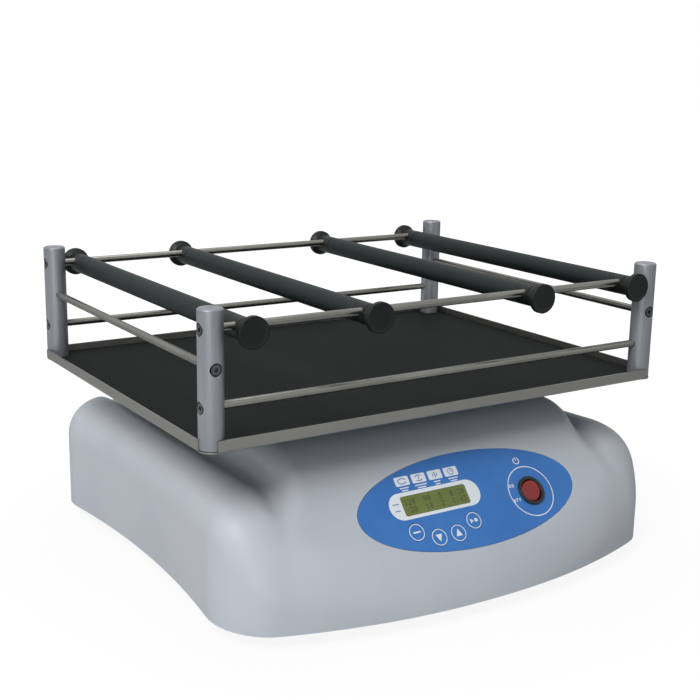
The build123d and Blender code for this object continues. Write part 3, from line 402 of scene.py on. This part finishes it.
def surface_net(field, low, high, step):
    """Quads on the zero surface of a field, one vertex to each cell that it crosses."""
    grids = [np.arange(a, b + step, step) for a, b in zip(low, high)]
    x, y, z = np.meshgrid(*grids, indexing="ij", sparse=True)
    inside = field(x, y, z) < 0
    n = inside.shape
    cells = [
        inside[i:n[0] - 1 + i, j:n[1] - 1 + j, k:n[2] - 1 + k]
        for i in (0, 1) for j in (0, 1) for k in (0, 1)
    ]
    mixed = np.logical_or.reduce(cells) & ~np.logical_and.reduce(cells)
    index = np.full(mixed.shape, -1)
    where = np.argwhere(mixed)
    index[mixed] = np.arange(len(where))
    points = np.array(low) + (where + 0.5) * step
    quads = []
    for axis in range(3):
        b, c = (axis + 1) % 3, (axis + 2) % 3
        start = np.moveaxis(inside, (axis, b, c), (0, 1, 2))
        ids = np.moveaxis(index, (axis, b, c), (0, 1, 2))
        first = start[:-1, 1:-1, 1:-1]
        second = start[1:, 1:-1, 1:-1]
        for hit, order in ((first & ~second, 1), (~first & second, -1)):
            i, j, k = np.nonzero(hit)
            quad = np.stack([
                ids[i, j, k], ids[i, j + 1, k], ids[i, j + 1, k + 1], ids[i, j, k + 1]
            ], axis=1)
            quads.append(quad[:, ::order])
    eps = 0.05
    for _ in range(8):
        value = field(points[:, 0], points[:, 1], points[:, 2])
        slope = np.stack([
            (field(*(points + np.eye(3)[a] * eps).T) - field(*(points - np.eye(3)[a] * eps).T))
            / (2 * eps)
            for a in range(3)
        ], axis=1)
        length = np.maximum((slope ** 2).sum(1), 0.2)
        points -= np.clip(value / length, -step, step)[:, None] * slope
    return points, np.concatenate(quads)


def cutter(build):
    bm = bmesh.new()
    build(bm)
    return finish_mesh("cutter", bm, housing_mat, None, smooth=None)


def cut(obj, tool):
    modifier = obj.modifiers.new("cut", "BOOLEAN")
    modifier.operation = "DIFFERENCE"
    modifier.solver = "EXACT"
    modifier.object = tool
    baked(obj)
    bpy.data.objects.remove(tool)


def make_cover():
    step = 3.0
    points, quads = surface_net(cover_field, (-212, -212, 0), (212, 212, 136), step)
    bm = bmesh.new()
    verts = [bm.verts.new((x + DRIVE_X, y, z)) for x, y, z in points]
    for quad in quads:
        bm.faces.new([verts[i] for i in quad])
    bmesh.ops.bisect_plane(
        bm, geom=bm.verts[:] + bm.edges[:] + bm.faces[:], plane_co=(0, 0, SKIRT_Z),
        plane_no=(0, 0, -1), clear_outer=True,
    )
    cover = finish_mesh("housing", bm, housing_mat, None, smooth=None)
    wall = cover.modifiers.new("wall", "SOLIDIFY")
    wall.thickness = WALL * MM
    wall.offset = -1
    wall.use_even_offset = True
    baked(cover)

    def recess(bm):
        steps = ((0, -RECESS), (0, -0.45), (0.45, 0.0), (5.0, 4.5))
        rings = []
        for grow, n in steps:
            rings.append([
                bm.verts.new(on_panel(x, s, n))
                for x, s in ellipse(0, 0, PANEL_A + grow, PANEL_B + grow)
            ])
        for lower, upper in zip(rings, rings[1:]):
            for i in range(len(lower)):
                j = (i + 1) % len(lower)
                bm.faces.new((lower[i], lower[j], upper[j], upper[i]))
        bm.faces.new(rings[0][::-1])
        bm.faces.new(rings[-1])

    def openings(bm):
        deep, proud = -9, 1
        for x, s in KEYS.values():
            lathe(bm, disc(KEY_HOLE_R, deep, proud), frame_at(on_panel(x, s, 0), PANEL_N), 64)
        lathe(bm, disc(BARREL_HOLE_R, deep, proud), frame_at(on_panel(*ROCKER, 0), PANEL_N), 64)
        add_plate(bm, rounded_box(WINDOW_X, WINDOW_S, 60, 14, 1), [], deep, proud, on_panel)
        hole = [
            (0, 100), (ORBIT_HOLE_R, 100), (ORBIT_HOLE_R, COVER_TOP - 0.8),
            (ORBIT_HOLE_R + 1, COVER_TOP + 0.4), (ORBIT_HOLE_R + 1, 140), (0, 140),
        ]
        for x in (-ORBIT_HOLE_X, ORBIT_HOLE_X):
            for y in (-ORBIT_HOLE_Y, ORBIT_HOLE_Y):
                lathe(bm, hole, frame_at((x + DRIVE_X, y, 0), (0, 0, 1)), 96)
        lathe(bm, disc(INLET_R, deep, 3), frame_at((DRIVE_X, BACK_Y, INLET_Z), (0, 1, 0)), 64)

    cut(cover, cutter(recess))
    cut(cover, cutter(openings))
    mesh = cover.data
    mesh.polygons.foreach_set("use_smooth", [True] * len(mesh.polygons))
    mesh.set_sharp_from_angle(angle=radians(32))
    mesh.materials.clear()
    mesh.materials.append(housing_mat)
    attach(cover, "base")
    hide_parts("cover")
    return cover


make_cover()


# Control panel
def panel_piece(name, shapes, material, body="base", low=FILM_TOP,
                high=FILM_TOP + PRINT, replaces=()):
    bm = bmesh.new()
    for outer, holes in shapes:
        add_plate(bm, outer, holes, low, high, on_panel)
    return finish_mesh(name, bm, material, body, smooth=30, replaces=replaces)


window_hole = rounded_box(WINDOW_X, WINDOW_S, WINDOW_W, WINDOW_H, 2.0)
panel_piece(
    "panel_film",
    [(ellipse(0, 0, PANEL_A - FILM_GAP, PANEL_B - FILM_GAP),
      [window_hole, circle(*ROCKER, BARREL_HOLE_R)]
      + [circle(x, s, KEY_HOLE_R) for x, s in KEYS.values()])],
    film_mat, low=-RECESS, high=FILM_TOP, replaces=("panel_overlay",),
)
panel_piece("display_surround", [(rounded_box(WINDOW_X, 5.0, 86.4, 22.0, 10.9, 24), [window_hole])],
            print_mat)
panel_piece("power_ring", [(circle(*ROCKER, 21.9), [circle(*ROCKER, 21.1)])], print_mat)

# Mode pictograms above the display, with short bars under them
ICON_X = (-56.0, -40.1, -24.4, -8.8)
ICON_S = 25.0
boxes = [(rounded_box(x, ICON_S, 13.2, 7.6, 1.2, 6), []) for x in ICON_X]
bars = []
for x, width in zip(ICON_X, (8.6, 11.4, 6.4, 9.2)):
    bars.append((rounded_box(x, 19.3, width, 0.9, 0.4, 4), []))
    bars.append((rounded_box(x, 17.2, width * 0.72, 0.9, 0.4, 4), []))
panel_piece("mode_icons", boxes + bars, print_mat)


def arc_band(x, y, rx, ry, start, end, width, n=28):
    inner, outer = [], []
    for k in range(n + 1):
        a = radians(start + (end - start) * k / n)
        outer.append((x + (rx + width / 2) * cos(a), y + (ry + width / 2) * sin(a)))
        inner.append((x + (rx - width / 2) * cos(a), y + (ry - width / 2) * sin(a)))
    return outer + inner[::-1]


marks = [
    (arc_band(ICON_X[0], ICON_S, 3.6, 2.2, 20, 340, 0.7), []),
    (arc_band(ICON_X[1], ICON_S, 3.4, 2.4, 40, 150, 0.7), []),
    (arc_band(ICON_X[1], ICON_S, 3.4, 2.4, 220, 330, 0.7), []),
    (rounded_box(ICON_X[1], ICON_S, 0.8, 3.0, 0.3, 4), []),
    (rounded_box(ICON_X[2], ICON_S, 0.8, 5.2, 0.3, 4), []),
    (rounded_box(ICON_X[2] - 1.8, ICON_S, 0.7, 2.6, 0.3, 4), []),
    (rounded_box(ICON_X[2] + 1.8, ICON_S, 0.7, 2.6, 0.3, 4), []),
    (circle(ICON_X[3], ICON_S, 2.8, 40), [circle(ICON_X[3], ICON_S, 2.2, 40)]),
    (rounded_box(ICON_X[3], ICON_S + 0.7, 0.6, 1.8, 0.2, 4), []),
    (rounded_box(ICON_X[3] + 0.8, ICON_S, 1.6, 0.6, 0.2, 4), []),
]
panel_piece("mode_marks", marks, blue_print_mat, low=FILM_TOP + PRINT, high=FILM_TOP + 2 * PRINT)
panel_piece(
    "row_marks",
    [(rounded_box(-69.2, 7.6, 6.0, 0.8, 0.3, 4), []), (rounded_box(-69.2, 2.2, 5.0, 0.8, 0.3, 4), [])],
    blue_print_mat, low=FILM_TOP + PRINT, high=FILM_TOP + 2 * PRINT,
)

# ON and OFF beside the rocker, and a power symbol above the ring
def letters(text, x, s, h=3.0, w=2.1, line=0.55):
    """Capitals O, N and F as printed strokes, from x on."""
    shapes = []
    for letter in text:
        left, right, middle = x - w / 2 + line / 2, x + w / 2 - line / 2, x
        if letter == "O":
            inner = ellipse(x, s, w / 2 - line, h / 2 - line, 40)
            shapes.append((ellipse(x, s, w / 2, h / 2, 40), [inner]))
        if letter == "N":
            shapes.append((rounded_box(left, s, line, h, 0.1, 3), []))
            shapes.append((rounded_box(right, s, line, h, 0.1, 3), []))
            shapes.append(([(left, s + h / 2), (left + line / 2, s + h / 2), (right, s - h / 2),
                            (right - line / 2, s - h / 2)], []))
        if letter == "F":
            shapes.append((rounded_box(left, s, line, h, 0.1, 3), []))
            shapes.append((rounded_box(middle, s + h / 2 - line / 2, w, line, 0.1, 3), []))
            shapes.append((rounded_box(middle - 0.2, s, w - 0.4, line, 0.1, 3), []))
        x += w + 0.75
    return shapes


panel_piece(
    "power_marks",
    letters("ON", 41.2, 2.4) + letters("OFF", 40.2, -10.2) + [
        (arc_band(57.5, 22.5, 2.8, 2.8, 125, 415, 0.8), []),
        (rounded_box(57.5, 24.2, 0.8, 3.4, 0.3, 4), []),
    ],
    print_mat,
)

# Keys: a low dome with its printed ring and symbol, each riding on its own body
SYMBOLS = {
    "select_key": [(rounded_box(0, 0, 7.0, 1.2, 0.5, 5), [])],
    "down_key": [([(-2.9, 2.4), (0, -3.6), (2.9, 2.4)], [])],
    "up_key": [([(-2.9, -2.4), (2.9, -2.4), (0, 3.6)], [])],
    "start_key": [
        ([(-3.4, -1.9), (-0.3, 0), (-3.4, 1.9)], []),
        (rounded_box(2.0, 0, 2.8, 2.8, 0.3, 4), []),
    ],
}
KEY_TOP = -0.2
for key, (x, s) in KEYS.items():
    bm = bmesh.new()
    at = frame_at(on_panel(x, s, 0), PANEL_N)
    lathe(bm, [(0, -3.6)] + rounded([(7.0, -3.6), (7.0, KEY_TOP), (0, KEY_TOP)], 0.25) + [(0, KEY_TOP)],
          at, 96)
    lathe(bm, disc(8.5, -4.6, -3.6), at, 64)
    lathe(bm, disc(2.5, -9.8, -4.6), at, 32)
    bmesh.ops.remove_doubles(bm, verts=bm.verts, dist=0.001)
    finish_mesh(key + "_cap", bm, film_mat, key + "_body", replaces=(key,))
    bm = bmesh.new()

    def place(a, b, n, x=x, s=s):
        return on_panel(x + a, s + b, n)

    add_plate(bm, circle(0, 0, 6.75), [circle(0, 0, 6.1)], KEY_TOP, KEY_TOP + PRINT, place)
    for outer, holes in SYMBOLS[key]:
        add_plate(bm, outer, holes, KEY_TOP, KEY_TOP + PRINT, place)
    finish_mesh(key + "_print", bm, print_mat, key + "_body", smooth=30)

# Display: digits as small dots on the olive field
DOTS = {
    "0": "01110 10001 10011 10101 11001 10001 01110",
    "1": "00100 01100 00100 00100 00100 00100 01110",
    "2": "01110 10001 00001 00010 00100 01000 11111",
    "3": "11111 00010 00100 00010 00001 10001 01110",
    "4": "00010 00110 01010 10010 11111 00010 00010",
    "5": "11111 10000 11110 00001 00001 10001 01110",
    "9": "01110 10001 10001 01111 00001 00010 01100",
    ":": "00000 00100 00100 00000 00100 00100 00000",
}
LCD_TOP = FILM_TOP - 0.12
bm = bmesh.new()
field = rounded_box(WINDOW_X, WINDOW_S, WINDOW_W - 0.2, WINDOW_H - 0.2, 1.9)
add_plate(bm, field, [], -2.6, LCD_TOP, on_panel)
finish_mesh("display_field", bm, lcd_mat, "base", smooth=30,
            replaces=("display_module", "display_window"))
bm = bmesh.new()
dot = 0.56
for row, text in ((7.6, "120  90  5  0:30"), (1.3, " 20  10  2  1:45")):
    for column, letter in enumerate(text):
        for line, bits in enumerate(DOTS.get(letter, "").split()):
            for place_in_line, bit in enumerate(bits):
                if bit == "1":
                    cx = WINDOW_X + (column - 7.5) * 3.65 + (place_in_line - 2) * dot
                    cy = row + (3 - line) * dot * 1.2
                    w, h = dot * 0.43, dot * 0.52
                    corners = [(cx - w, cy - h), (cx + w, cy - h), (cx + w, cy + h), (cx - w, cy + h)]
                    bottom = [bm.verts.new(on_panel(a, b, LCD_TOP)) for a, b in corners]
                    top = [bm.verts.new(on_panel(a, b, LCD_TOP + 0.03)) for a, b in corners]
                    bm.faces.new(top)
                    bm.faces.new(bottom[::-1])
                    for i in range(4):
                        j = (i + 1) % 4
                        bm.faces.new((bottom[i], bottom[j], top[j], top[i]))
finish_mesh("display_digits", bm, lcd_ink_mat, "base", smooth=None)

# Power rocker
PIVOT_N = -1.4
bm = bmesh.new()
bezel = [(0, -20.4), (10.4, -20.4), (10.4, -0.4)] + rounded(
    [(11.6, -0.4), (12.25, -0.4), (12.25, 1.4), (9.5, 1.4), (9.5, -3.0)], 0.55, 6
) + [(9.5, -7.4), (0, -7.4)]
lathe(bm, bezel, frame_at(on_panel(*ROCKER, 0), PANEL_N), 96)
finish_mesh("rocker_bezel", bm, black_mat, "base", replaces=("rocker_frame",))

bm = bmesh.new()
rest = radians(10)
tilted = Matrix.Rotation(rest, 3, "X") @ PANEL_N
at = frame_at(on_panel(*ROCKER, PIVOT_N), tilted)
dish = [(0, -2.5)] + rounded([(8.2, -2.5), (8.9, -2.2), (8.9, 1.7), (7.9, 2.35), (0, 2.45)], 0.7, 5)
dish += [(0, 2.45)]
lathe(bm, dish, at, 96)
bmesh.ops.remove_doubles(bm, verts=bm.verts, dist=0.001)
inverse = at.inverted()
for v in bm.verts:
    local = inverse @ v.co
    if local.z > 1.5:
        # A shallow valley across the middle, as a rocker's two faces make
        middle = max(0.0, 1 - abs(local.y) / 7.5)
        inward = min(1.0, (8.9 - hypot(local.x, local.y)) / 1.5)
        local.z -= 0.9 * middle * inward
        v.co = at @ local
trunnions = frame_at(on_panel(*ROCKER, PIVOT_N), (1, 0, 0), (0, 1, 0))
lathe(bm, disc(1.2, -10.3, 10.3), trunnions, 32)
finish_mesh("rocker_cap", bm, red_mat, "rocker", replaces=("rocker_button",))

# Platform
BORE = [(0, -5), (4.75, -5), (4.75, -0.55), (5.4, 0.3), (5.4, 2), (0, 2)]
SOCKET = disc(3.05, 6.0, 12)
for name, sx, sy in (
    ("front_left_post", -1, -1), ("front_right_post", 1, -1),
    ("rear_left_post", -1, 1), ("rear_right_post", 1, 1),
):
    bm = bmesh.new()
    body = [(0, POST_FOOT)] + rounded(
        [(POST_R - 0.6, POST_FOOT), (POST_R, POST_FOOT + 0.6), (POST_R, POST_TOP - 1),
         (POST_R - 1, POST_TOP), (2.2, POST_TOP), (0, POST_TOP - 0.4)], 0.5
    ) + [(0, POST_TOP - 0.4)]
    lathe(bm, body, frame_at((sx * POST_X, sy * POST_Y, 0), (0, 0, 1)), 96)
    bmesh.ops.remove_doubles(bm, verts=bm.verts, dist=0.001)
    post = finish_mesh(name + "_turned", bm, post_mat, None, smooth=35)

    def bores(bm, sx=sx, sy=sy):
        for z in (UPPER_Z, LOWER_Z):
            at = frame_at((sx * (POST_X + POST_R), sy * POST_Y, z), (sx, 0, 0), (0, 0, 1))
            lathe(bm, BORE, at, 64)
        at = frame_at((sx * POST_X, sy * (POST_Y + POST_R), SIDE_Z), (0, sy, 0), (0, 0, 1))
        lathe(bm, BORE, at, 64)

    def sockets(bm, sx=sx, sy=sy):
        for z in (UPPER_Z, LOWER_Z):
            at = frame_at((sx * POST_X, sy * POST_Y, z), (-sx, 0, 0), (0, 0, 1))
            lathe(bm, SOCKET, at, 48)
        at = frame_at((sx * POST_X, sy * POST_Y, SIDE_Z), (0, -sy, 0), (0, 0, 1))
        lathe(bm, SOCKET, at, 48)

    cut(post, cutter(bores))
    cut(post, cutter(sockets))
    post.data.materials.clear()
    post.data.materials.append(post_mat)
    post.data.polygons.foreach_set("use_smooth", [True] * len(post.data.polygons))
    post.data.set_sharp_from_angle(angle=radians(35))
    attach(post, "platform")
    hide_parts(name)

bm = bmesh.new()
for sy in (-1, 1):
    for z in (UPPER_Z, LOWER_Z):
        lathe(bm, disc(ROD_R, -LONG_ROD_END, LONG_ROD_END),
              frame_at((0, sy * POST_Y, z), (1, 0, 0), (0, 0, 1)), 48)
finish_mesh("long_rails", bm, rod_mat, "platform", replaces=("long_rods",))
bm = bmesh.new()
for sx in (-1, 1):
    lathe(bm, disc(ROD_R, -SIDE_ROD_END, SIDE_ROD_END),
          frame_at((sx * POST_X, 0, SIDE_Z), (0, 1, 0), (0, 0, 1)), 48)
finish_mesh("side_rails", bm, side_rod_mat, "platform", replaces=("side_rods",))

SLEEVE_END = POST_Y - 10.6
CLAMP_END = POST_Y + 9.6
GRIP_R, GRIP_END_R, SLEEVE_BORE = 8.25, 7.7, 6.0
STUD_R, STUD_START = 2.5, 154.9
for number, x in enumerate(BAR_X, start=1):
    bm = bmesh.new()
    sleeve = [(SLEEVE_BORE, -SLEEVE_END), (GRIP_END_R, -SLEEVE_END), (GRIP_R, -SLEEVE_END + 0.55),
              (GRIP_R, SLEEVE_END - 0.55), (GRIP_END_R, SLEEVE_END), (SLEEVE_BORE, SLEEVE_END)]
    lathe(bm, sleeve, frame_at((x, 0, BAR_Z), (0, 1, 0), (0, 0, 1)), 96)
    finish_mesh(f"grip_{number}", bm, grip_mat, f"bar_{number}",
                replaces=(f"clamp_bar_{number}",))
    for side, sy in (("front", -1), ("rear", 1)):
        bm = bmesh.new()
        face = CLAMP_END + 0.3
        knob = [(0, STUD_START), (STUD_R, STUD_START), (STUD_R, face)] + rounded(
            [(7.6, face), (8.75, face), (8.75, face + 0.7), (11.2, face + 2.7), (11.75, face + 3.3),
             (11.75, face + 7.2), (9.9, face + 7.2), (8.9, face + 6.75), (0, face + 6.6)], 0.55, 5
        ) + [(0, face + 6.6)]
        lathe(bm, knob, frame_at((x, 0, BAR_Z), (0, sy, 0), (0, 0, 1)), 120)
        bmesh.ops.remove_doubles(bm, verts=bm.verts, dist=0.001)
        finish_mesh(f"{side}_grip_knob_{number}", bm, clamp_mat, f"{side}_knob_{number}_body",
                    replaces=(f"{side}_knob_{number}",))

# Rubber feet
bm = bmesh.new()
for x, y in ((-FOOT_X, -FOOT_Y), (-FOOT_X, FOOT_Y), (FOOT_X, -FOOT_Y), (FOOT_X, FOOT_Y)):
    foot = [(2.6, 5.0), (5.5, 5.0)] + rounded(
        [(5.5, 0.6), (6.1, 0), (FOOT_R - 1.9, 0), (FOOT_R - 0.6, 1.3), (FOOT_R, 9.0),
         (FOOT_R, FOOT_H), (2.6, FOOT_H)],
        0.9
    )
    lathe(bm, foot, frame_at((x + DRIVE_X, y, 0), (0, 0, 1)), 72)
finish_mesh("rubber_feet", bm, foot_mat, "base", replaces=("feet",))

# CAD nodes that stay
KEPT = {
    base_mat: ["base_plate"],
    screw_mat: ["foot_screws", "plate_screws", "tray_screws", "post_screws"],
    inner_mat: ["bearing_plate", "plate_pillars", "spindle_housing", "driven_pulley",
                "motor_pulley", "carriage_plate", "carriage_posts"],
    steel_mat: ["base_bearings", "carriage_bearings", "drive_shaft", "counterweight",
                "motor_shaft", "idler_crank_1", "idler_crank_2", "idler_crank_3"],
    motor_mat: ["motor"],
    belt_mat: ["drive_belt"],
    board_mat: ["control_board"],
    black_mat: ["dc_inlet"],
    tray_mat: ["tray"],
    mat_mat: ["mat"],
    clamp_mat: ["clamp_ends_1", "clamp_ends_2", "clamp_ends_3", "clamp_ends_4"],
}
for material, names in KEPT.items():
    for name in names:
        obj = nodes[name]
        obj.data.materials.clear()
        obj.data.materials.append(material)
        bevel = obj.modifiers.new("edges", "BEVEL")
        bevel.width = 0.00035
        bevel.segments = 2
        bevel.limit_method = "ANGLE"
        bevel.angle_limit = radians(40)
        bevel.harden_normals = True

# Floor, light and camera
floor_mesh = bpy.data.meshes.new("floor")
floor_mesh.from_pydata([(-8, -8, 0), (8, -8, 0), (8, 8, 0), (-8, 8, 0)], [], [(0, 1, 2, 3)])
floor = bpy.data.objects.new("floor", floor_mesh)
bpy.context.scene.collection.objects.link(floor)
floor_mat = bpy.data.materials.new("floor_white")
floor_mat.use_nodes = True
tree = floor_mat.node_tree
tree.nodes.clear()
out = tree.nodes.new("ShaderNodeOutputMaterial")
mix = tree.nodes.new("ShaderNodeMixShader")
diffuse = tree.nodes.new("ShaderNodeBsdfDiffuse")
diffuse.inputs["Color"].default_value = (0.6, 0.6, 0.6, 1)
glow = tree.nodes.new("ShaderNodeEmission")
glow.inputs["Strength"].default_value = 1.06
path = tree.nodes.new("ShaderNodeLightPath")
scale = tree.nodes.new("ShaderNodeMath")
scale.operation = "MULTIPLY"
coords = tree.nodes.new("ShaderNodeTexCoord")
reach = tree.nodes.new("ShaderNodeVectorMath")
reach.operation = "LENGTH"
tree.links.new(coords.outputs["Object"], reach.inputs[0])
fade = tree.nodes.new("ShaderNodeMapRange")
fade.inputs["From Min"].default_value = 0.28
fade.inputs["From Max"].default_value = 0.62
fade.inputs["To Min"].default_value = 0.86
fade.inputs["To Max"].default_value = 1.0
tree.links.new(reach.outputs["Value"], fade.inputs["Value"])
tree.links.new(fade.outputs["Result"], scale.inputs[1])
either = tree.nodes.new("ShaderNodeMath")
either.operation = "MAXIMUM"
tree.links.new(path.outputs["Is Camera Ray"], either.inputs[0])
tree.links.new(path.outputs["Is Transmission Ray"], either.inputs[1])
tree.links.new(either.outputs[0], scale.inputs[0])
tree.links.new(scale.outputs[0], mix.inputs["Fac"])
tree.links.new(diffuse.outputs["BSDF"], mix.inputs[1])
tree.links.new(glow.outputs["Emission"], mix.inputs[2])
tree.links.new(mix.outputs["Shader"], out.inputs["Surface"])
floor_mesh.materials.append(floor_mat)

world = bpy.data.worlds.new("studio")
bpy.context.scene.world = world
world.use_nodes = True
tree = world.node_tree
tree.nodes.clear()
out = tree.nodes.new("ShaderNodeOutputWorld")
mix = tree.nodes.new("ShaderNodeMixShader")
soft = tree.nodes.new("ShaderNodeBackground")
soft.inputs["Color"].default_value = (0.90, 0.95, 1.0, 1)
soft.inputs["Strength"].default_value = 0.31
white = tree.nodes.new("ShaderNodeBackground")
white.inputs["Color"].default_value = (1, 1, 1, 1)
white.inputs["Strength"].default_value = 1.0
path = tree.nodes.new("ShaderNodeLightPath")
first = tree.nodes.new("ShaderNodeMath")
first.operation = "MAXIMUM"
second = tree.nodes.new("ShaderNodeMath")
second.operation = "MULTIPLY_ADD"
second.inputs[1].default_value = 0.55
tree.links.new(path.outputs["Is Camera Ray"], first.inputs[0])
tree.links.new(path.outputs["Is Transmission Ray"], first.inputs[1])
tree.links.new(path.outputs["Is Glossy Ray"], second.inputs[0])
tree.links.new(first.outputs[0], second.inputs[2])
tree.links.new(second.outputs[0], mix.inputs["Fac"])
tree.links.new(soft.outputs["Background"], mix.inputs[1])
tree.links.new(white.outputs["Background"], mix.inputs[2])
tree.links.new(mix.outputs["Shader"], out.inputs["Surface"])


def lamp(name, location, target, size, power, colour=(1, 1, 1)):
    data = bpy.data.lights.new(name, "AREA")
    data.shape = "DISK"
    data.size = size
    data.energy = power
    data.color = colour
    obj = bpy.data.objects.new(name, data)
    bpy.context.scene.collection.objects.link(obj)
    direction = Vector(target) - Vector(location)
    turn = direction.to_track_quat("-Z", "Y").to_matrix().to_4x4()
    obj.matrix_world = Matrix.Translation(location) @ turn
    return obj


lamp("key", (-1.5, -0.9, 1.7), (0, 0, 0.1), 1.1, 35)
lamp("fill", (-1.5, -1.7, 0.35), (0, 0, 0.12), 0.9, 6)
lamp("top", (0.1, 0.4, 2.2), (0, 0, 0.1), 1.6, 12)

camera_data = bpy.data.cameras.new("camera")
camera_data.sensor_width = 36.0
camera_data.lens = 62.39
camera_data.clip_end = 50
camera = bpy.data.objects.new("camera", camera_data)
bpy.context.scene.collection.objects.link(camera)
yaw, pitch, roll = radians(33.07), radians(13.41), 0.0177
forward = Vector((sin(yaw) * cos(pitch), cos(yaw) * cos(pitch), -sin(pitch)))
right = Vector((cos(yaw), -sin(yaw), 0))
up = right.cross(forward)
r = right * cos(roll) + up * sin(roll)
u = up * cos(roll) - right * sin(roll)
pose = Matrix((r, u, -forward)).transposed().to_4x4()
pose.translation = Vector((-0.5592, -0.8684, 0.4139))
camera.matrix_world = pose
bpy.context.scene.camera = camera
bpy.context.scene.view_settings.view_transform = "Standard"
